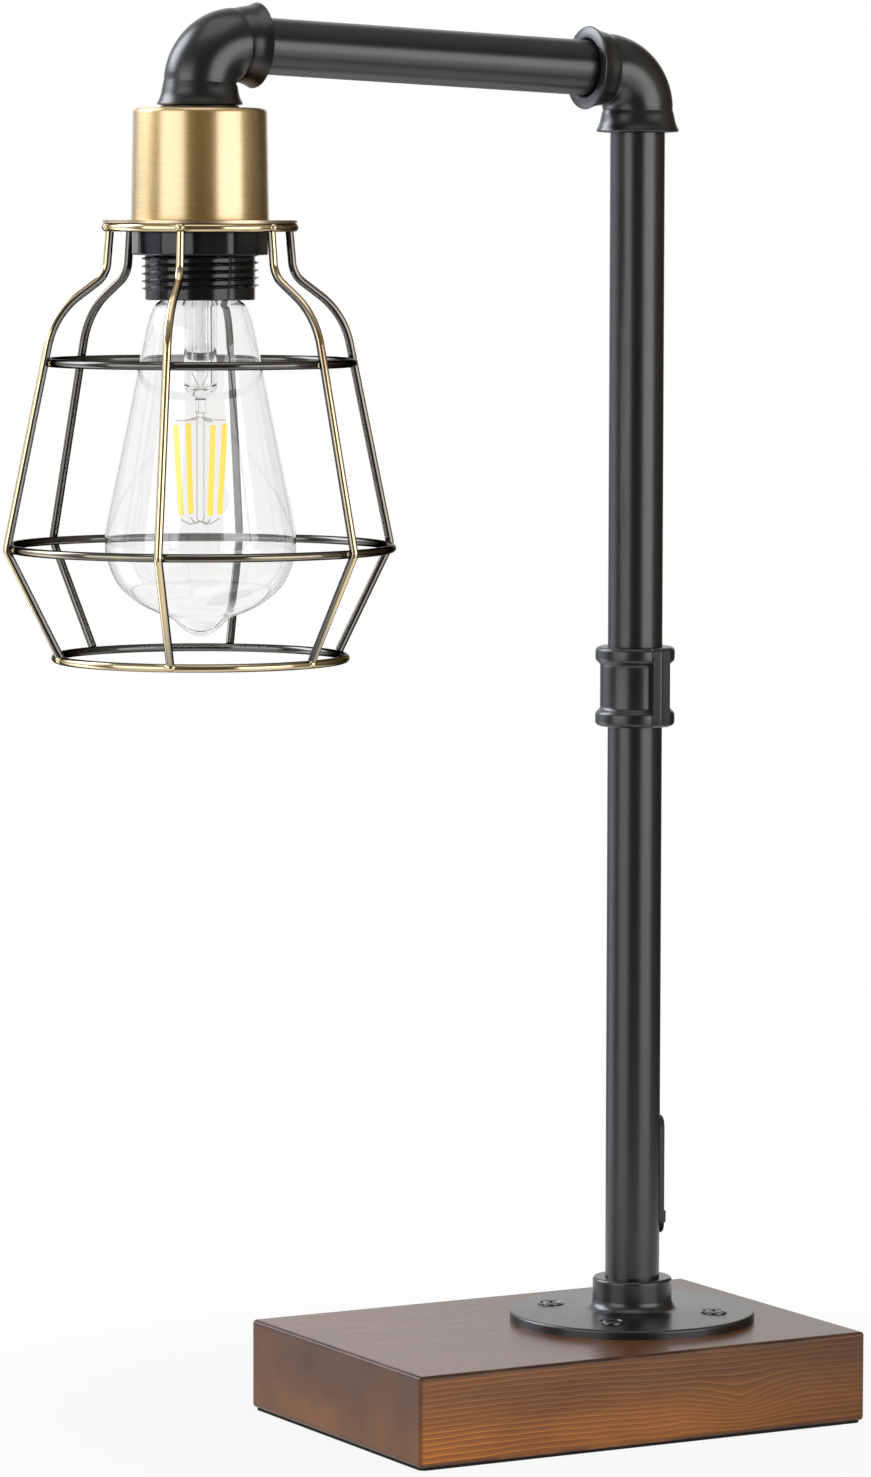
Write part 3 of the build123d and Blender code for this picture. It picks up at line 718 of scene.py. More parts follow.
def through(points: Sequence[Pair], steps: int) -> Outline:
    """Smooth line through points, from the second to the last but one.

    Args:
        points: points to pass, and one more at each end that sets a direction.
        steps: points on each stretch.

    Returns:
        Points of the line.
    """
    line: Outline = []
    for before, start, end, after in zip(points, points[1:], points[2:], points[3:]):
        for step in range(steps):
            share = step / steps
            line.append(tuple(
                (
                    2 * start[axis] + (end[axis] - before[axis]) * share
                    + (2 * before[axis] - 5 * start[axis] + 4 * end[axis] - after[axis]) * share**2
                    + (3 * start[axis] - before[axis] - 3 * end[axis] + after[axis]) * share**3
                ) / 2
                for axis in (0, 1)
            ))
    return [*line, tuple(points[-2])]


def upright(middle: Vector) -> Place:
    """Rule for turning about an upright axis, where stations are heights."""
    return lambda height: (Vector((middle.x, middle.y, height)), Vector((0, 1, 0)), Vector((-1, 0, 0)))


def turned(
    name: str, outline: Outline, place: Place, node: str, sides: int = 96, ripple: Ripple | None = None
) -> bpy.types.Object:
    """Piece turned from a closed outline about an axis or a bent line.

    Args:
        name: name of the piece.
        outline: station along the line and radius of each point.
        place: centre and two directions across, at a station.
        node: node whose material slot it has.
        sides: points round the piece.
        ripple: changes the radius by station, radius and angle.

    Returns:
        The piece.
    """
    stations = np.array([point[0] for point in outline])
    radii = np.array([point[1] for point in outline])
    angles = np.arange(sides) * math.tau / sides
    reach = np.repeat(radii[:, None], sides, axis=1)
    if ripple:
        reach = ripple(stations[:, None], reach, angles[None, :])
    frames = [place(float(station)) for station in stations]
    centre, first, second = (np.array([tuple(part[index]) for part in frames])[:, None] for index in range(3))
    ring = np.cos(angles)[None, :, None] * first + np.sin(angles)[None, :, None] * second
    points = centre + reach[:, :, None] * ring
    rows, columns = np.meshgrid(np.arange(len(outline)), np.arange(sides), indexing="ij")
    steps = ((0, 0), (0, 1), (1, 1), (1, 0))
    corners = [(rows + down) % len(outline) * sides + (columns + right) % sides for down, right in steps]
    mesh = bpy.data.meshes.new(name)
    mesh.from_pydata(points.reshape(-1, 3).tolist(), [], np.stack(corners, axis=-1).reshape(-1, 4).tolist())
    lengths = np.hypot(np.diff(stations, append=stations[0]), np.diff(radii, append=radii[0]))
    run = np.concatenate([[0.0], np.cumsum(lengths)])
    places = [np.stack([(columns + right) / sides, run[rows + down]], axis=-1) for down, right in steps]
    mesh.uv_layers.new(name="round").data.foreach_set("uv", np.stack(places, axis=-2).ravel())
    return shown(name, mesh, node)


def polylines(name: str, lines: Sequence[Line], closed: bool = False) -> bpy.types.Mesh:
    """Mesh of open or closed lines, whose points hold the radius of their bend.

    Args:
        name: name of the mesh.
        lines: points and bend radii of each line.
        closed: whether each line's end joins its start.

    Returns:
        The mesh.
    """
    points: list[Vector] = []
    edges: list[tuple[int, int]] = []
    for line in lines:
        start = len(points)
        points += [point for point, _ in line]
        edges += [(start + step, start + step + 1) for step in range(len(line) - 1)]
        if closed:
            edges.append((len(points) - 1, start))
    mesh = bpy.data.meshes.new(name)
    mesh.from_pydata(points, edges, [])
    bends = [bend for line in lines for _, bend in line]
    mesh.attributes.new("bend", "FLOAT", "POINT").data.foreach_set("value", bends)
    return mesh


class Pattern:
    """Geometry Nodes tree that sweeps or repeats what it is given."""

    bend_steps: int = 12
    rod_sides: int = 18
    bead_steps: int = 3
    bead_scales: tuple[Triple, Triple] = ((0.75, 0.8, 0.75), (1.15, 1.25, 1.2))

    def __init__(self, name: str, inputs: dict[str, str]) -> None:
        """Starts a tree.

        Args:
            name: name of the tree.
            inputs: name and kind of each size that it takes.
        """
        self.tree = bpy.data.node_groups.new(name, "GeometryNodeTree")
        sockets = {"Geometry": "Geometry", **inputs, "Place": "Vector", "Finish": "Material"}
        for label, kind in sockets.items():
            self.tree.interface.new_socket(label, in_out="INPUT", socket_type=f"NodeSocket{kind}")
        self.tree.interface.new_socket("Geometry", in_out="OUTPUT", socket_type="NodeSocketGeometry")
        self.sketch = NodeSketch(self.tree)
        self.given = self.sketch.add("NodeGroupInput").outputs

    def swept(self, lines: Socket) -> Socket:
        """Round rods along lines, bent at their corners.

        Args:
            lines: edges that the rods follow.

        Returns:
            The rods.
        """
        bend = self.sketch.add("GeometryNodeInputNamedAttribute", {"Name": "bend"}, data_type="FLOAT")
        curve = self.sketch.add("GeometryNodeMeshToCurve", {"Mesh": lines})
        inputs = {"Curve": curve.outputs[0], "Count": self.bend_steps, "Radius": bend.outputs[0]}
        bent = self.sketch.add("GeometryNodeFilletCurve", inputs, mode="POLY")
        inputs = {"Resolution": self.rod_sides, "Radius": self.given["Rod Radius"]}
        section = self.sketch.add("GeometryNodeCurvePrimitiveCircle", inputs)
        inputs = {"Curve": bent.outputs[0], "Profile Curve": section.outputs[0], "Fill Caps": True}
        return self.sketch.add("GeometryNodeCurveToMesh", inputs).outputs[0]

    def marked_rub_and_sheen(self, rods: Socket) -> Socket:
        """Rods marked by how far each point faces outwards, times a share of painted brass sheen.

        Args:
            rods: geometry to mark.

        Returns:
            The marked geometry.
        """
        place = self.sketch.add("GeometryNodeInputPosition").outputs[0]
        level = self.sketch.add("ShaderNodeVectorMath", {0: place, 1: (1.0, 1.0, 0.0)}, operation="MULTIPLY")
        outwards = self.sketch.add("ShaderNodeVectorMath", {0: level.outputs[0]}, operation="NORMALIZE")
        normal = self.sketch.add("GeometryNodeInputNormal").outputs[0]
        inputs = {0: normal, 1: outwards.outputs[0]}
        facing = self.sketch.add("ShaderNodeVectorMath", inputs, operation="DOT_PRODUCT")
        relief = self.sketch.math("MULTIPLY", facing.outputs["Value"], self.given["Relief"])
        inputs = {"Geometry": rods, "Name": "relief", "Value": relief}
        return self.sketch.add("GeometryNodeStoreNamedAttribute", inputs, data_type="FLOAT").outputs[0]

    def beaded(self, places: Socket) -> Socket:
        """Beads of uneven size at places.

        Args:
            places: points that get a bead each.

        Returns:
            The beads.
        """
        inputs = {"Radius": self.given["Bead Radius"], "Subdivisions": self.bead_steps}
        bead = self.sketch.add("GeometryNodeMeshIcoSphere", inputs)
        limits = {0: self.bead_scales[0], 1: self.bead_scales[1], "Seed": self.given["Seed"]}
        uneven = self.sketch.add("FunctionNodeRandomValue", limits, data_type="FLOAT_VECTOR")
        inputs = {"Points": places, "Instance": bead.outputs[0], "Scale": uneven.outputs[0]}
        return self.sketch.add("GeometryNodeInstanceOnPoints", inputs).outputs[0]

    def circled(self, shape: Socket) -> Socket:
        """Copies of a shape, evenly turned about the axis.

        Args:
            shape: geometry to copy.

        Returns:
            The copies.
        """
        index = self.sketch.add("GeometryNodeInputIndex").outputs[0]
        step = self.sketch.math("DIVIDE", math.tau, self.given["Count"])
        turn = self.sketch.math("ADD", self.sketch.math("MULTIPLY", index, step), self.given["First Angle"])
        spin = self.sketch.add("ShaderNodeCombineXYZ", {"Z": turn})
        points = self.sketch.add("GeometryNodePoints", {"Count": self.given["Count"]})
        inputs = {"Points": points.outputs[0], "Instance": shape, "Rotation": spin.outputs[0]}
        return self.sketch.add("GeometryNodeInstanceOnPoints", inputs).outputs[0]

    def stacked(self, shape: Socket) -> Socket:
        """Copies of a shape, one above the other.

        Args:
            shape: geometry to copy.

        Returns:
            The copies.
        """
        rise = self.sketch.add("ShaderNodeCombineXYZ", {"Z": self.given["Spacing"]})
        inputs = {"Count": self.given["Count"], "Offset": rise.outputs[0]}
        points = self.sketch.add("GeometryNodeMeshLine", inputs)
        inputs = {"Points": points.outputs[0], "Instance": shape}
        return self.sketch.add("GeometryNodeInstanceOnPoints", inputs).outputs[0]

    def end(self, shape: Socket) -> "Pattern":
        """Puts the shape in its place, realizes it and sets its material.

        Args:
            shape: what the tree has made.

        Returns:
            The pattern itself.
        """
        inputs = {"Geometry": shape, "Translation": self.given["Place"]}
        moved = self.sketch.add("GeometryNodeTransform", inputs)
        whole = self.sketch.add("GeometryNodeRealizeInstances", {"Geometry": moved.outputs[0]})
        inputs = {"Geometry": whole.outputs[0], "Material": self.given["Finish"]}
        dressed = self.sketch.add("GeometryNodeSetMaterial", inputs)
        self.sketch.add("NodeGroupOutput", {0: dressed.outputs[0]})
        return self

    def bake(self, name: str, start: bpy.types.Mesh, node: str, **sizes: object) -> bpy.types.Object:
        """Runs the tree on a mesh and keeps the plain result.

        Args:
            name: name of the piece.
            start: mesh that the tree is given.
            node: CAD node whose material slot the piece has.
            sizes: values of the tree's inputs, with underscores for spaces.

        Returns:
            The piece.
        """
        carrier = placed(f"{name}_start", start)
        modifier = carrier.modifiers.new("pattern", "NODES")
        modifier.node_group = self.tree
        values = {"Finish": FINISHES[SLOTS[node]].material()}
        values |= {label.replace("_", " ").title(): value for label, value in sizes.items()}
        for socket in self.tree.interface.items_tree:
            if socket.in_out == "INPUT" and socket.name in values:
                modifier[socket.identifier] = values[socket.name]
        view = bpy.context.evaluated_depsgraph_get()
        mesh = bpy.data.meshes.new_from_object(
            carrier.evaluated_get(view), preserve_all_data_layers=True, depsgraph=view
        )
        carrier.modifiers.clear()
        bpy.data.objects.remove(carrier)
        mesh.name = name
        return shown(name, mesh, node)


def rod_pattern() -> Pattern:
    """Pattern of bent rods, copied round an axis.

    Returns:
        The finished pattern.
    """
    sizes = {"Rod Radius": "Float", "Relief": "Float", "Count": "Int", "First Angle": "Float"}
    pattern = Pattern("bent_rods", sizes)
    return pattern.end(pattern.circled(pattern.marked_rub_and_sheen(pattern.swept(pattern.given["Geometry"]))))


def bead_pattern() -> Pattern:
    """Pattern of weld beads, copied round an axis.

    Returns:
        The finished pattern.
    """
    sizes = {"Bead Radius": "Float", "Relief": "Float", "Seed": "Int", "Count": "Int", "First Angle": "Float"}
    pattern = Pattern("weld_beads", sizes)
    return pattern.end(pattern.circled(pattern.marked_rub_and_sheen(pattern.beaded(pattern.given["Geometry"]))))


def copy_pattern() -> Pattern:
    """Pattern of any shape, copied round an axis."""
    pattern = Pattern("copies_round_axis", {"Count": "Int", "First Angle": "Float"})
    return pattern.end(pattern.circled(pattern.given["Geometry"]))


def ridge_pattern() -> Pattern:
    """Pattern of level ridges, one above the other."""
    pattern = Pattern("ridges", {"Rod Radius": "Float", "Count": "Int", "Spacing": "Float"})
    return pattern.end(pattern.stacked(pattern.swept(pattern.given["Geometry"])))


class CageRing(Enum):
    """Rings of the cage, from the top: how much of each is brass rather than dark, and where its beads sit.

    Brass is partly rubbed plating and dark is partly painted reflection and shade; a share of 0, as on the
    upper ring inside the wires, is dark plating all round. Beads sit outwards and upwards from the middle of
    the ring's wire, by shares of the wire's radius.
    """

    # Shares below 1 paint reflection and shade as dark plating.
    TOP = (1.0, 0.75, 0.1)
    UPPER = (0.0, 0.9, 0.0)
    MIDDLE = (0.28, 0.9, 0.1)
    BOTTOM = (0.6, 0.6, 0.25)

    def __init__(self, relief: float, bead_out: float, bead_up: float) -> None:
        """Keeps the relief and the place of the beads by name.

        Args:
            relief: share of brass, partly rubbed plating and partly painted reflection.
            bead_out: how far out its beads sit.
            bead_up: how far up they sit.
        """
        self.relief = relief
        self.bead_out = bead_out
        self.bead_up = bead_up

    @property
    def node(self) -> str:
        """CAD node of the ring."""
        return f"cage_{self.name.lower()}_ring"


@dataclass
class WireCage:
    """Six bent wires welded to four rings, under a flat top plate.

    A bend is a radius from the head's axis to a wire's middle, a depth below the plate's underside and the
    radius of the bend itself.
    """

    wire_radius: float = 1.4 * MM
    count: int = 6
    first_angle: float = math.radians(-8.5)
    neck: Triple = (32.8 * MM, 17.2 * MM, 9 * MM)
    shoulder: Triple = (50.8 * MM, 30.2 * MM, 27 * MM)
    corner: Triple = (67.56 * MM, 108.2 * MM, 2.5 * MM)
    weld_radius: float = 1.15 * MM
    end_radius: float = 1.6 * MM
    # Share of painted brass sheen on the weld beads, partly rubbed plating.
    bead_rub_and_sheen: float = 0.8
    bead_seed: int = 7
    hoop_steps: int = 180

    def build(self, rods: Pattern, beads: Pattern) -> None:
        """Builds rings, wires and weld beads.

        Args:
            rods: pattern of bent rods.
            beads: pattern of weld beads.
        """
        plate = NodeBox.of("cage_top_plate")
        self.axis = Vector((plate.middle.x, plate.middle.y, 0))
        self.underside = plate.low.z
        self.boxes = {ring: NodeBox.of(ring.node) for ring in CageRing}
        for ring in CageRing:
            self.add_ring(rods, ring)
        self.add_wires(rods)
        self.add_beads(beads, "wire_ends", (CageRing.TOP, CageRing.BOTTOM), self.end_radius)
        self.add_beads(beads, "wire_welds", (CageRing.UPPER, CageRing.MIDDLE), self.weld_radius)

    def on_ring(self, ring: CageRing, turn: float = 0.0, out: float = 0.0, up: float = 0.0) -> Vector:
        """Point on the middle of a ring's wire, or beside it.

        Args:
            ring: the ring.
            turn: angle round the axis.
            out: share of the wire's radius by which the point lies further out.
            up: share of the wire's radius by which it lies higher.

        Returns:
            The point, measured from the axis.
        """
        box = self.boxes[ring]
        radius = box.radius - self.wire_radius + out * self.wire_radius
        height = box.middle.z + up * self.wire_radius
        return Vector((radius * math.cos(turn), radius * math.sin(turn), height))

    def add_ring(self, rods: Pattern, ring: CageRing) -> None:
        """Adds one ring, with its own relief.

        Args:
            rods: pattern of bent rods.
            ring: the ring.
        """
        name = f"{ring.name.lower()}_hoop"
        turns = [step * math.tau / self.hoop_steps for step in range(self.hoop_steps)]
        line = [(self.on_ring(ring, turn), 0.0) for turn in turns]
        piece = rods.bake(
            name, polylines(f"{name}_line", [line], closed=True), ring.node, rod_radius=self.wire_radius,
            relief=ring.relief, count=1, first_angle=0.0, place=self.axis,
        )
        hand_over(piece, ring.node)

    def add_wires(self, rods: Pattern) -> None:
        """Adds the six wires, from the top ring to the bottom ring.

        Args:
            rods: pattern of bent rods.
        """
        bends = [
            (Vector((radius, 0, self.underside - depth)), bend)
            for radius, depth, bend in (self.neck, self.shoulder, self.corner)
        ]
        head, foot = self.on_ring(CageRing.TOP), self.on_ring(CageRing.BOTTOM)
        top = head + (bends[0][0] - head).normalized() * self.wire_radius
        end = foot + (bends[-1][0] - foot).normalized() * self.wire_radius
        line = [(top, 0.0), *bends, (end, 0.0)]
        piece = rods.bake(
            "bent_wires", polylines("wire_line", [line]), "cage_wires", rod_radius=self.wire_radius,
            relief=1.0, count=self.count, first_angle=self.first_angle, place=self.axis,
        )
        hand_over(piece, "cage_wires")

    def add_beads(self, beads: Pattern, name: str, rings: Sequence[CageRing], radius: float) -> None:
        """Adds beads by which the wires are welded to rings.

        Args:
            beads: pattern of weld beads.
            name: name of the piece.
            rings: the rings.
            radius: radius of a bead of the usual size.
        """
        seed = bpy.data.meshes.new(f"{name}_places")
        seed.from_pydata([self.on_ring(ring, 0.0, ring.bead_out, ring.bead_up) for ring in rings], [], [])
        piece = beads.bake(
            name, seed, "cage_wires", bead_radius=radius, relief=self.bead_rub_and_sheen, seed=self.bead_seed,
            count=self.count, first_angle=self.first_angle, place=self.axis,
        )
        add_along(piece, "cage_wires")


@dataclass
class LampHead:
    """Brass cup, threaded skirt of the lampholder and the ring that clamps the cage."""

    cup_wall: float = 0.9 * MM
    cup_taper: float = 0.65 * MM
    cup_edge: float = 1.6 * MM
    cup_lip: float = 0.25 * MM
    cup_hole: float = 5.1 * MM
    thread_pitch: float = 2.5 * MM
    thread_depth: float = 1.35 * MM
    thread_run_out: float = 0.8 * MM
    thread_step: float = 0.125 * MM
    fin_share: float = 0.42
    fin_peak: float = 1.12
    collar_height: float = 3 * MM
    collar_edge: float = 0.3 * MM
    skirt_bore: float = 16.6 * MM
    key_angle: float = math.radians(186)
    key_width: float = math.radians(2.2)
    key_floor_share: float = 0.6
    ring_flats: int = 12
    ring_bore: float = 20 * MM
    ring_bore_edge: float = 0.3 * MM
    ring_edge: float = 0.7 * MM
    corner_share: float = 0.996

    def build(self) -> None:
        """Builds the three pieces."""
        self.add_cup()
        self.add_skirt()
        self.add_ring()

    def add_cup(self) -> None:
        """Adds the drawn brass cup."""
        box = NodeBox.of("socket_cup")
        mouth, top = box.radius, box.radius - self.cup_taper
        ceiling = box.high.z - self.cup_wall
        outline = rounded((
            (box.high.z, self.cup_hole, 0.0), (box.high.z, top, self.cup_edge),
            (box.low.z, mouth, self.cup_lip), (box.low.z, mouth - self.cup_wall, self.cup_lip),
            (ceiling, top - self.cup_wall, self.cup_edge - self.cup_wall), (ceiling, self.cup_hole, 0.0),
        ))
        piece = turned("brass_cup", outline, upright(box.middle), "socket_cup", sides=128)
        hand_over(piece, "socket_cup")

    def add_skirt(self) -> None:
        """Adds the skirt with its coarse outer thread and one key slot."""
        box = NodeBox.of("holder_skirt")
        crest, root = box.radius, box.radius - self.thread_depth
        start = box.low.z + self.collar_height
        rows = np.arange(start, box.high.z, self.thread_step)
        outline: Outline = [
            (box.low.z, self.skirt_bore), (box.low.z, root - self.collar_edge),
            (box.low.z + self.collar_edge, root), (start, root), *((float(row), crest) for row in rows[1:]),
            (box.high.z, root), (box.high.z, self.skirt_bore),
        ]

        def thread(height: np.ndarray, radius: np.ndarray, angle: np.ndarray) -> np.ndarray:
            """Cuts a right-hand thread into what stands out to the crest.

            Args:
                height: height of each point.
                radius: its radius.
                angle: its angle round the axis.

            Returns:
                The radius with the thread.
            """
            phase = (height / self.thread_pitch - angle / math.tau) % 1.0
            ridge = np.clip(self.fin_peak - np.abs(2 * phase - 1) / self.fin_share, 0.0, 1.0)
            ridge = ridge * smoothstep(height, start, start + self.thread_run_out)
            slot = np.abs((angle - self.key_angle + math.pi) % math.tau - math.pi)
            ridge = ridge * smoothstep(slot, self.key_width * self.key_floor_share, self.key_width)
            return np.where(radius >= crest - MERGE_DISTANCE, root + self.thread_depth * ridge, radius)

        place = upright(box.middle)
        piece = turned("threaded_skirt", outline, place, "holder_skirt", sides=160, ripple=thread)
        hand_over(piece, "holder_skirt")

    def add_ring(self) -> None:
        """Adds the ring, with flat sides whose corners are eased."""
        box = NodeBox.of("shade_ring")
        reach, edge = box.radius, self.ring_edge
        outline = rounded((
            (box.low.z, self.ring_bore, self.ring_bore_edge), (box.low.z, reach, edge),
            (box.high.z, reach, edge), (box.high.z, self.ring_bore, self.ring_bore_edge),
        ))
        half = math.pi / self.ring_flats

        def flats(height: np.ndarray, radius: np.ndarray, angle: np.ndarray) -> np.ndarray:
            """Cuts flat sides that leave the bore round.

            Args:
                height: height of each point.
                radius: its radius.
                angle: its angle round the axis.

            Returns:
                The radius with the flat sides.
            """
            offset = (angle - math.pi / 2) % (2 * half) - half
            flat = math.cos(half) / np.cos(offset)
            eased = np.minimum(flat, self.corner_share)
            share = np.clip((radius - self.ring_bore) / (reach - self.ring_bore), 0.0, 1.0)
            return radius * (1 - share) + radius * eased * share

        place = upright(box.middle)
        hand_over(turned("clamp_nut", outline, place, "shade_ring", sides=144, ripple=flats), "shade_ring")


@dataclass
class PipeElbows:
    """The two cast elbows, with flared collars, soft grooves and bevelled mouths.

    The mouth and the flare are stations along the axis and radii, from a collar's mouth to the body.
    """

    reach: float = 21.2 * MM
    bend_radius: float = 13.8 * MM
    body: float = 12.2 * MM
    mouth: tuple[Pair, ...] = ((0.0, 10.5 * MM), (0.28 * MM, 13.8 * MM), (0.56 * MM, 14.22 * MM))
    flare: tuple[Pair, ...] = (
        (0.0, 14.3 * MM), (0.8 * MM, 14.3 * MM), (3.2 * MM, 13.255 * MM), (6.4 * MM, 12.55 * MM),
        (7.9 * MM, 12.12 * MM), (9.1 * MM, 12.2 * MM), (10.4 * MM, 12.2 * MM),
    )
    flare_steps: int = 5
    collar: float = 9.3 * MM
    chamfer: float = 0.9 * MM
    seat: float = 9.6 * MM
    depth: float = 8 * MM
    bore: float = 7.5 * MM
    step: float = 0.7 * MM

    def build(self) -> None:
        """Builds both elbows between the pole, the arm and the head."""
        pole, head = NodeBox.of("pole_elbow"), NodeBox.of("head_elbow")
        pole_corner = Vector((NodeBox.of("upper_pipe").middle.x, 0, pole.low.z + self.reach))
        head_corner = Vector((NodeBox.of("socket_cup").middle.x, 0, head.low.z + self.reach))
        along = (head_corner - pole_corner).normalized()
        self.add_elbow("pole_elbow", pole_corner, along)
        self.add_elbow("head_elbow", head_corner, -along)

    def add_elbow(self, node: str, corner: Vector, side: Vector) -> None:
        """Adds an elbow.

        Args:
            node: CAD node that it stands for.
            corner: where its two axes cross.
            side: direction of the arm from there.
        """
        up = Vector((0, 0, 1))
        turn = up.angle(side)
        leg = self.reach - self.bend_radius * math.tan(turn / 2)
        arc = self.bend_radius * turn
        across = up.cross(side).normalized()

        def place(station: float) -> tuple[Vector, Vector, Vector]:
            """Point on the bent axis and the directions across it.

            Args:
                station: length along the bent axis.

            Returns:
                The point and the two directions.
            """
            bent = min(max(station - leg, 0.0), arc) / self.bend_radius
            spin = Matrix.Rotation(bent, 3, across)
            ahead = spin @ up
            inwards = across.cross(ahead)
            hub = corner - up * (self.reach - leg) + across.cross(up) * self.bend_radius
            point = hub - inwards * self.bend_radius
            if station < leg:
                point = corner + up * (station - self.reach)
            elif station > leg + arc:
                point += ahead * (station - leg - arc)
            return point, -inwards, across

        hand_over(turned(f"{node}_casting", self.outline(2 * leg + arc), place, node, sides=72), node)

    def outline(self, length: float) -> Outline:
        """Outline of an elbow, from the mouth of one collar to the other and back through the bore.

        Args:
            length: length of the bent axis.

        Returns:
            Station and radius of each point.
        """
        half = [*self.mouth, *through(self.flare, self.flare_steps)]
        stations = np.arange(self.collar, length - self.collar, self.step)
        inner = np.arange(length - self.depth, self.depth, -self.step)
        return [
            *half, *((float(station), self.body) for station in stations),
            *((length - station, radius) for station, radius in reversed(half)),
            (length - self.chamfer, self.seat), (length - self.depth, self.seat),
            *((float(station), self.bore) for station in inner),
            (self.depth, self.bore), (self.depth, self.seat), (self.chamfer, self.seat),
        ]


@dataclass
class PoleCoupling:
    """Cast coupling half way up the pole: two rounded bands and two flat ribs."""

    body: float = 12.1 * MM
    band: float = 13.85 * MM
    rib: float = 14.15 * MM
    rib_half_width: float = 3.8 * MM
    rib_angles: Pair = (math.radians(190), math.radians(10))
    rib_margin: float = 0.1 * MM
    least_cosine: float = 0.1
    seam: float = 0.12 * MM
    seam_half_width: float = 0.3 * MM
    seam_flat_share: float = 0.3
    bore: float = 9.6 * MM
    bore_edge: float = 0.4 * MM
    band_length: float = 4.7 * MM
    slope: float = 1.5 * MM
    edge: float = 1.6 * MM
    ease: float = 1.9 * MM

    def build(self) -> None:
        """Builds the coupling."""
        box = NodeBox.of("pipe_coupling")
        low, high = box.low.z, box.high.z
        corners = (
            (0.0, self.bore, self.bore_edge), (0.0, self.band, self.edge),
            (self.band_length, self.band, self.ease), (self.band_length + self.slope, self.body, self.ease),
        )
        outline = rounded((
            *((low + inside, radius, edge) for inside, radius, edge in corners),
            *((high - inside, radius, edge) for inside, radius, edge in reversed(corners)),
        ), steps=8)

        def ribbed(height: np.ndarray, radius: np.ndarray, angle: np.ndarray) -> np.ndarray:
            """Raises the ribs, which follow the rounded ends of the bands.

            Args:
                height: height of each point.
                radius: its radius.
                angle: its angle round the axis.

            Returns:
                The radius with the ribs.
            """
            inside = np.minimum(height - low, high - height)
            reach = np.where(inside < self.edge, radius + self.rib - self.band, self.rib)
            raised = radius + np.zeros_like(angle)
            for rib_angle in self.rib_angles:
                offset = (angle - rib_angle + math.pi) % math.tau - math.pi
                aside = np.abs(self.rib * np.sin(offset))
                near = (aside < self.rib_half_width) & (np.cos(offset) > 0)
                near = near & (radius > self.body - self.rib_margin)
                fall = smoothstep(aside, self.seam_flat_share * self.seam_half_width, self.seam_half_width)
                flat = reach / np.maximum(np.cos(offset), self.least_cosine) + self.seam * (1 - fall)
                raised = np.where(near, np.maximum(raised, flat), raised)
            return raised

        place = upright(box.middle)
        piece = turned("cast_coupling", outline, place, "pipe_coupling", sides=240, ripple=ribbed)
        hand_over(piece, "pipe_coupling")


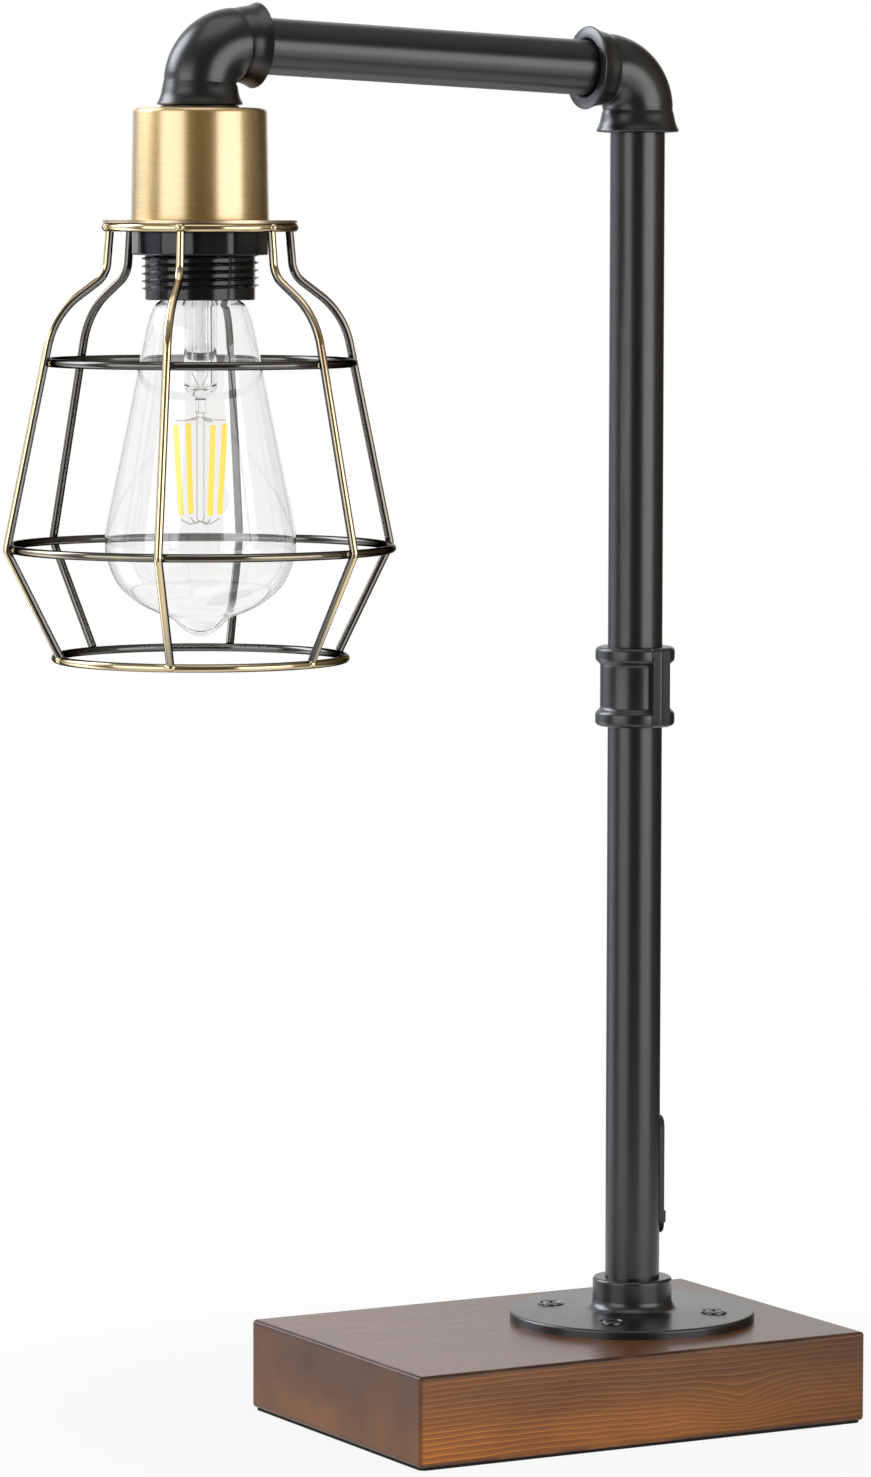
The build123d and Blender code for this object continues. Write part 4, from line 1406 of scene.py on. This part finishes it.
@dataclass
class FilamentBulb:
    """Clear bulb: glass, stem, four filament sticks and their wires, and a screw cap.

    Heights are measured up from the tip of the glass. Points of sticks and wires are a radius and a height.
    """

    belly_height: float = 29.3 * MM
    neck_radius: float = 12.4 * MM
    neck_height: float = 113.4 * MM
    wall: float = 0.5 * MM
    nose_shares: tuple[Pair, ...] = (
        (0.138, 0.06), (0.215, 0.125), (0.277, 0.189), (0.355, 0.24), (0.5, 0.3), (0.678, 0.41),
        (0.881, 0.628),
    )
    body_shares: tuple[Pair, ...] = (
        (0.975, 0.111), (0.891, 0.27), (0.7625, 0.509), (0.678, 0.669), (0.594, 0.829), (0.547, 0.908),
        (0.484, 0.968),
    )
    glass_steps: int = 10
    stem_radius: float = 5.5 * MM
    stem_wall: float = 0.7 * MM
    stem_foot: float = 82 * MM
    flare_gap: float = 0.2 * MM
    flare_length: float = 6 * MM
    flare_bend: float = 3 * MM
    shoulder_length: float = 2.4 * MM
    shoulder_bend: float = 3.2 * MM
    floor_rises: Pair = (0.4 * MM, 0.9 * MM)
    floor_bend: float = 2.6 * MM
    press_foot: float = 74.6 * MM
    post_radius: float = 1.8 * MM
    post_bends: Pair = (0.9 * MM, 1.2 * MM)
    exhaust_radius: float = 2 * MM
    exhaust_gaps: Pair = (1 * MM, 6.5 * MM)
    stick_radius: float = 0.95 * MM
    stick_rounding: float = 0.9
    stick_count: int = 4
    stick_top: Pair = (9.25 * MM, 71.3 * MM)
    stick_foot: Pair = (7.2 * MM, 40.8 * MM)
    wire_radius: float = 0.25 * MM
    wire_bend: float = 1 * MM
    upper_wire: tuple[Pair, ...] = ((1.08 * MM, 73.6 * MM), (5 * MM, 72.5 * MM))
    lower_wire: tuple[Pair, ...] = ((0.4 * MM, 38.6 * MM), (4 * MM, 37.8 * MM))
    lead: tuple[Pair, ...] = ((0.7 * MM, 83.5 * MM), (2.9 * MM, 88 * MM))
    lead_bend: float = 3 * MM
    lead_gap: float = 1 * MM
    lead_count: int = 2
    stay: tuple[Pair, ...] = ((0.3 * MM, 38.6 * MM), (1.3 * MM, 39.6 * MM), (1.3 * MM, 75.6 * MM))
    stay_bend: float = 0.8 * MM
    cap_pitch: float = 3.6 * MM
    cap_thread_depth: float = 0.9 * MM
    cap_plain_ends: Pair = (2 * MM, 1.5 * MM)
    cap_step: float = 0.25 * MM
    cap_rim: float = 0.5 * MM
    cap_top: tuple[Pair, ...] = ((0.4 * MM, 2 * MM), (0.0, 3.6 * MM))
    cap_wall: float = 0.4 * MM

    def build(self, rods: Pattern, copies: Pattern) -> None:
        """Builds the bulb's pieces.

        Args:
            rods: pattern of bent rods.
            copies: pattern that repeats a shape round an axis.
        """
        glass = NodeBox.of("bulb_glass")
        self.axis = Vector((glass.middle.x, glass.middle.y, 0))
        self.tip = glass.low.z
        self.add_glass(glass)
        self.add_stem()
        self.add_sticks(copies)
        self.add_wires(rods)
        self.add_cap()

    def add_glass(self, box: NodeBox) -> None:
        """Adds the blown glass, as an outer and an inner skin.

        Args:
            box: box of the CAD glass.
        """
        rise = self.neck_height - self.belly_height
        nose = [(up * self.belly_height, share * box.radius) for share, up in self.nose_shares]
        body = [(self.belly_height + up * rise, share * box.radius) for share, up in self.body_shares]
        line = [
            (0.0, 0.0), *nose, (self.belly_height, box.radius), *body, (self.neck_height, self.neck_radius),
            (box.high.z - self.tip, self.neck_radius),
        ]
        before = (nose[0][0], -nose[0][1])
        after = (2 * line[-1][0] - line[-2][0], self.neck_radius)
        skin = through([before, *line, after], self.glass_steps)
        outer = [(max(up, 0.0), min(max(out, 0.0), box.radius)) for up, out in skin]
        points = np.array(outer)
        along = np.gradient(points, axis=0)
        along /= np.linalg.norm(along, axis=1)[:, None]
        inner = points + self.wall * np.stack([along[:, 1], -along[:, 0]], axis=1)
        inner[0] = (self.wall, 0.0)
        inner[-1, 0] = outer[-1][0]
        outline = [*outer, *((float(up), max(float(out), 0.0)) for up, out in inner[::-1])]
        raised = [(self.tip + up, out) for up, out in outline]
        hand_over(turned("bulb_skin", raised, upright(self.axis), "bulb_glass", sides=192), "bulb_glass")

    def add_stem(self) -> None:
        """Adds the glass stem: a flared tube that closes in a press and a bead."""
        box = NodeBox.of("bulb_stem")
        top, tube, press = box.high.z, self.tip + self.stem_foot, self.tip + self.press_foot
        flare, flare_foot = box.radius - self.flare_gap, top - self.flare_length
        outer, inner, post = self.stem_radius, self.stem_radius - self.stem_wall, self.post_radius
        outline = rounded((
            (top, flare, 0.0), (flare_foot, outer, self.flare_bend), (tube, outer, self.shoulder_bend),
            (tube - self.shoulder_length, post, self.post_bends[0]), (press, post, self.post_bends[1]),
            (press, 0.0, 0.0), (tube + self.floor_rises[0], 0.0, 0.0),
            (tube + self.floor_rises[1], inner, self.floor_bend), (flare_foot, inner, self.flare_bend),
            (top, flare - self.stem_wall, 0.0),
        ))
        hand_over(turned("stem_tube", outline, upright(self.axis), "bulb_stem", sides=64), "bulb_stem")
        bore = self.exhaust_radius - self.stem_wall
        ends = (top - self.exhaust_gaps[0], tube + self.exhaust_gaps[1])
        sleeve = [*((end, self.exhaust_radius) for end in ends), *((end, bore) for end in reversed(ends))]
        add_along(turned("exhaust_tube", sleeve, upright(self.axis), "bulb_stem", sides=48), "bulb_stem")

    def point(self, size: Pair) -> Vector:
        """Point at a radius and a height above the tip."""
        return Vector((size[0], 0, self.tip + size[1]))

    def bent_line(self, bend: float, *sizes: Pair) -> Line:
        """Line through points at radii and heights, bent at those between its ends."""
        points = [self.point(size) for size in sizes]
        return [(points[0], 0.0), *((point, bend) for point in points[1:-1]), (points[-1], 0.0)]

    def add_sticks(self, copies: Pattern) -> None:
        """Adds the four filament sticks, rounded at both ends.

        Args:
            copies: pattern that repeats a shape round an axis.
        """
        foot, top = self.point(self.stick_foot), self.point(self.stick_top)
        lean = (top - foot).normalized()
        side = Vector((0, 1, 0))
        length, radius = (top - foot).length, self.stick_radius
        edge = self.stick_rounding * radius
        outline = rounded(((0.0, 0.0, 0.0), (0.0, radius, edge), (length, radius, edge), (length, 0.0, 0.0)))
        blank = turned(
            "stick_blank", outline, lambda station: (foot + station * lean, side, lean.cross(side)),
            "filament_sticks", sides=24,
        )
        seed = blank.data
        bpy.data.objects.remove(blank)
        piece = copies.bake(
            "filament_rods", seed, "filament_sticks", count=self.stick_count, first_angle=0.0,
            place=self.axis,
        )
        hand_over(piece, "filament_sticks")

    def add_wires(self, rods: Pattern) -> None:
        """Adds the wires that hold the sticks, and the leads up the stem.

        Args:
            rods: pattern of bent rods.
        """
        clear = self.stick_radius + self.wire_radius
        above, below = self.stick_top[1] + clear, self.stick_foot[1] - clear
        lead_top = NodeBox.of("bulb_stem").high.z - self.tip - self.lead_gap
        holders = [
            self.bent_line(self.wire_bend, *self.upper_wire, (self.stick_top[0], above)),
            self.bent_line(self.wire_bend, *self.lower_wire, (self.stick_foot[0], below)),
        ]
        leads = [
            self.bent_line(self.lead_bend, *self.lead, (self.lead[-1][0], lead_top)),
            self.bent_line(self.stay_bend, *self.stay),
        ]
        pieces = [
            rods.bake(
                name, polylines(f"{name}_lines", lines), "filament_wires", rod_radius=self.wire_radius,
                relief=1.0, count=count, first_angle=0.0, place=self.axis,
            )
            for name, lines, count in (
                ("holding_wires", holders, self.stick_count), ("stem_leads", leads, self.lead_count),
            )
        ]
        hand_over(pieces[0], "filament_wires")
        add_along(pieces[1], "filament_wires")

    def add_cap(self) -> None:
        """Adds the cap, with a rolled screw thread."""
        box = NodeBox.of("bulb_cap")
        crest, rim = box.radius, box.radius - self.cap_rim
        start, end = box.low.z + self.cap_plain_ends[0], box.high.z - self.cap_plain_ends[1]
        rows = np.arange(start, end, self.cap_step)
        top = [(box.high.z - down, crest - inset) for down, inset in self.cap_top]
        inner = [(height - self.cap_wall, radius - self.cap_wall) for height, radius in reversed(top)]
        outline = [
            (box.low.z, rim), *((float(row), crest) for row in rows), *top, *inner,
            (box.low.z, rim - self.cap_wall),
        ]

        def rolled(height: np.ndarray, radius: np.ndarray, angle: np.ndarray) -> np.ndarray:
            """Rolls a round thread into what stands out to the crest."""
            wave = 0.5 - 0.5 * np.cos(math.tau * (height / self.cap_pitch - angle / math.tau))
            return np.where(radius >= crest - MERGE_DISTANCE, radius - self.cap_thread_depth * wave, radius)

        hand_over(turned("screw_cap", outline, upright(self.axis), "bulb_cap", ripple=rolled), "bulb_cap")


@dataclass
class FlangeScrews:
    """Four countersunk cross-head screws.

    Points of the head are shares of the dome's drop, the head's radius and the groove's depth.
    """

    count: int = 4
    circle_radius: float = 29.5 * MM
    head_radius: float = 4.6 * MM
    head_shares: tuple[Triple, ...] = (
        (0.0, 0.0, 0.0), (0.12, 0.35, 0.0), (0.4, 0.64, 0.0), (0.4, 0.7, 1.0), (0.4, 0.8, 1.0),
        (0.4, 0.86, 0.0),
    )
    dome: float = 0.5 * MM
    groove: float = 0.35 * MM
    proud: float = 0.75 * MM
    rim_share: float = 0.6
    rim_ease: float = 0.1 * MM
    rim_height: float = 0.3 * MM
    cone_height: float = 2.6 * MM
    shank_radius: float = 1.9 * MM
    length: float = 19 * MM
    point_length: float = 4 * MM
    point_radius: float = 0.5 * MM
    recess_angles: Pair = (math.radians(20), math.radians(110))
    recess_length: float = 5.2 * MM
    recess_width: float = 1.25 * MM
    recess_depth: float = 1.6 * MM
    recess_floor: Pair = (0.45, 0.78)

    def build(self, copies: Pattern) -> None:
        """Builds one screw and copies it round the pole.

        Args:
            copies: pattern that repeats a shape round an axis.
        """
        middle = Vector((self.circle_radius, 0, 0))
        head = [
            (-down * self.dome - sunk * self.groove, out * self.head_radius)
            for down, out, sunk in self.head_shares
        ]
        outline = [
            *head, (-self.rim_share * self.dome, self.head_radius - self.rim_ease),
            (-self.dome - self.rim_height, self.head_radius),
            (-self.dome - self.cone_height, self.shank_radius),
            (self.point_length - self.length, self.shank_radius), (-self.length, self.point_radius),
            (-self.length, 0.0),
        ]
        screw = turned("screw_blank", outline, upright(middle), "flange_screws", sides=48)
        cutters = [self.cutter(middle, angle) for angle in self.recess_angles]
        for cutter in cutters:
            cut = screw.modifiers.new("recess", "BOOLEAN")
            cut.object = cutter
            cut.solver = "EXACT"
        view = bpy.context.evaluated_depsgraph_get()
        seed = bpy.data.meshes.new_from_object(screw.evaluated_get(view), depsgraph=view)
        for spent in (*cutters, screw):
            bpy.data.objects.remove(spent)
        flange, screws = NodeBox.of("floor_flange"), NodeBox.of("flange_screws")
        place = Vector((flange.middle.x, flange.middle.y, screws.high.z + self.proud))
        piece = copies.bake(
            "cross_head_screws", seed, "flange_screws", count=self.count, first_angle=math.pi / self.count,
            place=place,
        )
        hand_over(piece, "flange_screws")

    def cutter(self, middle: Vector, angle: float) -> bpy.types.Object:
        """Tapered wing of the cross recess.

        Args:
            middle: middle of the head.
            angle: bearing of the wing.

        Returns:
            The object that cuts it.
        """
        shape = bmesh.new()
        bmesh.ops.create_cube(shape, size=1.0)
        for corner in shape.verts:
            long, wide = self.recess_floor if corner.co.z < 0 else (1.0, 1.0)
            corner.co.x *= self.recess_length * long
            corner.co.y *= self.recess_width * wide
            corner.co.z *= 2 * self.recess_depth
        turn = Matrix.Translation(middle) @ Matrix.Rotation(angle, 4, "Z")
        bmesh.ops.transform(shape, matrix=turn, verts=shape.verts)
        return placed("recess_wing", mesh_of("recess_wing", shape))


@dataclass
class SlideKnob:
    """Knob of the slide switch: a rounded pad with level ridges."""

    ridge_count: int = 5
    ridge_radius: float = 0.28 * MM
    ridge_inset: float = 0.72 * MM
    corner: float = 0.45 * MM
    corner_steps: int = 4

    def build(self, ridges: Pattern) -> None:
        """Builds the pad and its ridges.

        Args:
            ridges: pattern of level ridges.
        """
        box = NodeBox.of("switch_slider")
        face = box.high.x - self.ridge_radius
        size = Vector((face - box.low.x, box.high.y - box.low.y, box.high.z - box.low.z))
        shape = bmesh.new()
        bmesh.ops.create_cube(shape, size=1.0)
        middle = Vector((face - size.x / 2, box.middle.y, box.middle.z))
        fitted = Matrix.Translation(middle) @ Matrix.Diagonal((*size, 1))
        bmesh.ops.transform(shape, matrix=fitted, verts=shape.verts)
        edges = {"geom": shape.edges[:], "offset": self.corner, "segments": self.corner_steps}
        bmesh.ops.bevel(shape, profile=0.5, affect="EDGES", **edges)
        hand_over(shown("slide_pad", mesh_of("slide_pad", shape), "switch_slider"), "switch_slider")
        spacing = (size.z - 2 * self.corner) / self.ridge_count
        half = size.y / 2 - self.ridge_inset
        line = [(Vector((0, side * half, 0)), 0.0) for side in (-1, 1)]
        start = Vector((face, box.middle.y, box.middle.z - spacing * (self.ridge_count - 1) / 2))
        piece = ridges.bake(
            "slide_ridges", polylines("ridge_line", [line]), "switch_slider", rod_radius=self.ridge_radius,
            count=self.ridge_count, spacing=spacing, place=start,
        )
        add_along(piece, "switch_slider")


def dress_nodes() -> None:
    """Gives every CAD node the finish of its material slot, and the cage's plate one of its own."""
    for name, slot in SLOTS.items():
        node = frame["nodes"][name]
        node.data.materials.clear()
        node.data.materials.append(FINISHES["cage_plate" if name == "cage_top_plate" else slot].material())
        LOG.info("dressed %s", name)


@dataclass(frozen=True)
class SoftBox:
    """Studio lamp, placed by its bearing in degrees: 0 is on the camera's side and 90 to its right."""

    name: str
    bearing: float
    height: float
    width: float
    length: float
    radiance: float
    distance: float = 2.2

    def build(self, sight: float, target: Vector) -> None:
        """Adds the lamp.

        Args:
            sight: bearing of the camera's line of sight, in degrees.
            target: point that the lamp faces.
        """
        angle = math.radians(sight + 180 - self.bearing)
        place = target + Vector((math.sin(angle), math.cos(angle), 0)) * self.distance
        place.z = self.height
        lamp = bpy.data.lights.new(self.name, "AREA")
        lamp.shape = "RECTANGLE"
        lamp.size = self.width
        lamp.size_y = self.length
        lamp.energy = self.radiance * self.width * self.length * math.pi
        box = placed(self.name, lamp)
        box.location = place
        box.rotation_euler = (target - place).to_track_quat("-Z", "Y").to_euler()
        box.visible_camera = False


@dataclass
class PhotoStudio:
    """Camera at the photograph's viewpoint, a pale floor and soft light.

    Bearings on the walls are shares of a turn: 0 is straight ahead of the camera and 0.25 to its left.
    """

    place: Triple = (-1066.2 * MM, -1839.3 * MM, 422.5 * MM)
    bearing: float = 28.945
    tilt: float = 4.964
    roll: float = 0.113
    lens: float = 149.99
    aim: Triple = (0.0, 0.0, 0.25)
    floor_radius: float = 12.0
    floor_sides: int = 64
    shadow_reach: float = 0.32
    shadow_core: float = 0.4
    shadow_share: float = 0.1
    table_edge: Pair = (0.3, 0.6)
    table_roughness: float = 0.25
    ceiling: Pair = (0.45, 0.85)
    window_bearings: Pair = (0.15, 0.22)
    window_heights: Pair = (0.3, 0.7)
    window_blurs: Pair = (0.03, 0.1)
    wall_stops: tuple[tuple[float, Studio], ...] = (
        (0.0, Studio.BACKDROP), (0.06, Studio.BACKDROP), (0.1, Studio.PALE_WALL), (0.15, Studio.DAYLIGHT),
        (0.22, Studio.DAYLIGHT), (0.29, Studio.GREY_WALL), (0.46, Studio.DARK_WALL), (0.7, Studio.DARK_WALL),
        (0.72, Studio.WARM_WALL), (0.78, Studio.BROWN_WALL), (0.86, Studio.DARK_WALL),
        (0.93, Studio.DARK_WALL), (0.95, Studio.BACKDROP), (1.0, Studio.BACKDROP),
    )
    boxes: tuple[SoftBox, ...] = (
        SoftBox("key_box", bearing=51.0, height=0.2, width=1.9, length=1.9, radiance=2.7),
        SoftBox("side_box", bearing=-47.0, height=0.35, width=1.7, length=1.9, radiance=2.1),
        SoftBox("top_box", bearing=-10.0, height=2.4, width=1.6, length=1.6, radiance=1.0, distance=0.4),
    )

    def build(self) -> None:
        """Adds the camera, the lamps, the world and the floor."""
        self.add_camera()
        for box in self.boxes:
            box.build(self.bearing, Vector(self.aim))
        self.add_world()
        self.add_floor()
        bpy.context.scene.view_settings.view_transform = "Standard"

    def add_camera(self) -> None:
        """Adds the camera and makes it the scene's own."""
        bearing, tilt = math.radians(self.bearing), math.radians(self.tilt)
        ahead = math.cos(tilt)
        sight = Vector((math.sin(bearing) * ahead, math.cos(bearing) * ahead, -math.sin(tilt)))
        level = Vector((math.cos(bearing), -math.sin(bearing), 0))
        right = Matrix.Rotation(-math.radians(self.roll), 3, sight) @ level
        lens = bpy.data.cameras.new("photo_camera")
        lens.lens = self.lens
        camera = placed("photo_camera", lens)
        axes = Matrix((right, right.cross(sight), -sight)).transposed().to_4x4()
        camera.matrix_world = Matrix.Translation(self.place) @ axes
        bpy.context.scene.camera = camera

    def add_world(self) -> None:
        """Adds a world that is white to the eye and through glass, and a studio to what it lights."""
        world = bpy.data.worlds.new("studio")
        world.use_nodes = True
        bpy.context.scene.world = world
        sketch = NodeSketch(world.node_tree)
        rays, seen = sketch.looks()
        white = sketch.add("ShaderNodeBackground", {"Color": Studio.BACKDROP.value})
        fill = sketch.add("ShaderNodeBackground", {"Color": Studio.FILL.value})
        walls = sketch.add("ShaderNodeBackground", {"Color": self.walls(sketch)})
        whole = sketch.blend(seen, sketch.blend(rays["Is Glossy Ray"], fill, walls), white)
        sketch.add("ShaderNodeOutputWorld", {"Surface": whole.outputs[0]})

    def walls(self, sketch: NodeSketch) -> Socket:
        """Colour of the studio round the lamp, by bearing from behind the camera.

        Args:
            sketch: node tree of the world.

        Returns:
            The colour that gloss reflects.
        """
        direction = sketch.add("ShaderNodeTexCoord").outputs["Generated"]
        turned_by = {"Vector": direction, "Angle": math.radians(self.bearing)}
        level = sketch.add("ShaderNodeVectorRotate", turned_by, rotation_type="Z_AXIS")
        parts = sketch.add("ShaderNodeSeparateXYZ", {0: level.outputs[0]})
        back = sketch.math("MULTIPLY", parts.outputs["Y"], -1.0)
        bearing = sketch.math("ARCTAN2", parts.outputs["X"], back)
        share = sketch.add("ShaderNodeMapRange", {0: bearing, 1: -math.pi, 2: math.pi}).outputs[0]
        stops = [(place, wall.value) for place, wall in self.wall_stops]
        ceiling = sketch.rise(parts.outputs["Z"], *self.ceiling)
        room = sketch.mix(ceiling, sketch.ramp(share, stops), Studio.CEILING.value)
        wide = sketch.between(share, *self.window_bearings, self.window_blurs[0])
        tall = sketch.between(parts.outputs["Z"], *self.window_heights, self.window_blurs[1])
        window = sketch.math("MULTIPLY", wide, tall)
        return sketch.mix(window, room, Studio.WINDOW.value)

    def add_floor(self) -> None:
        """Adds a pale floor that reads as white but keeps the object's shadow."""
        shape = bmesh.new()
        bmesh.ops.create_circle(shape, cap_ends=True, radius=self.floor_radius, segments=self.floor_sides)
        floor = placed("floor", mesh_of("floor", shape))
        paint = bpy.data.materials.new("pale_floor")
        paint.use_nodes = True
        sketch = NodeSketch(paint.node_tree)
        rays, seen = sketch.looks()
        length = sketch.add("ShaderNodeVectorMath", {0: sketch.object_place()}, operation="LENGTH")
        distance = length.outputs["Value"]
        fade = sketch.rise(distance, self.shadow_core * self.shadow_reach, self.shadow_reach)
        share = sketch.math("MULTIPLY", seen, sketch.spread(fade, 1 - self.shadow_share, 1.0))
        pale = sketch.add("ShaderNodeBsdfDiffuse", {"Color": Studio.FLOOR.value})
        white = sketch.add("ShaderNodeEmission", {"Color": Studio.BACKDROP.value})
        gloss = {"Color": Studio.POLISH.value, "Roughness": self.table_roughness}
        polish = sketch.add("ShaderNodeBsdfAnisotropic", gloss)
        table = sketch.blend(sketch.rise(distance, *self.table_edge), white, polish)
        straight = sketch.math("SUBTRACT", 1.0, rays["Is Transmission Ray"])
        mirrored = sketch.math("MULTIPLY", rays["Is Glossy Ray"], straight)
        whole = sketch.blend(mirrored, sketch.blend(share, pale, white), table)
        sketch.add("ShaderNodeOutputMaterial", {"Surface": whole.outputs[0]})
        floor.data.materials.append(paint)


def main() -> None:
    """Builds the studio and the lamp's looks."""
    logging.basicConfig(level=logging.INFO, format="%(message)s")
    PhotoStudio().build()
    dress_nodes()
    rods, copies = rod_pattern(), copy_pattern()
    PipeElbows().build()
    PoleCoupling().build()
    LampHead().build()
    WireCage().build(rods, bead_pattern())
    FilamentBulb().build(rods, copies)
    FlangeScrews().build(copies)
    SlideKnob().build(ridge_pattern())


if __name__ == "__main__":
    main()
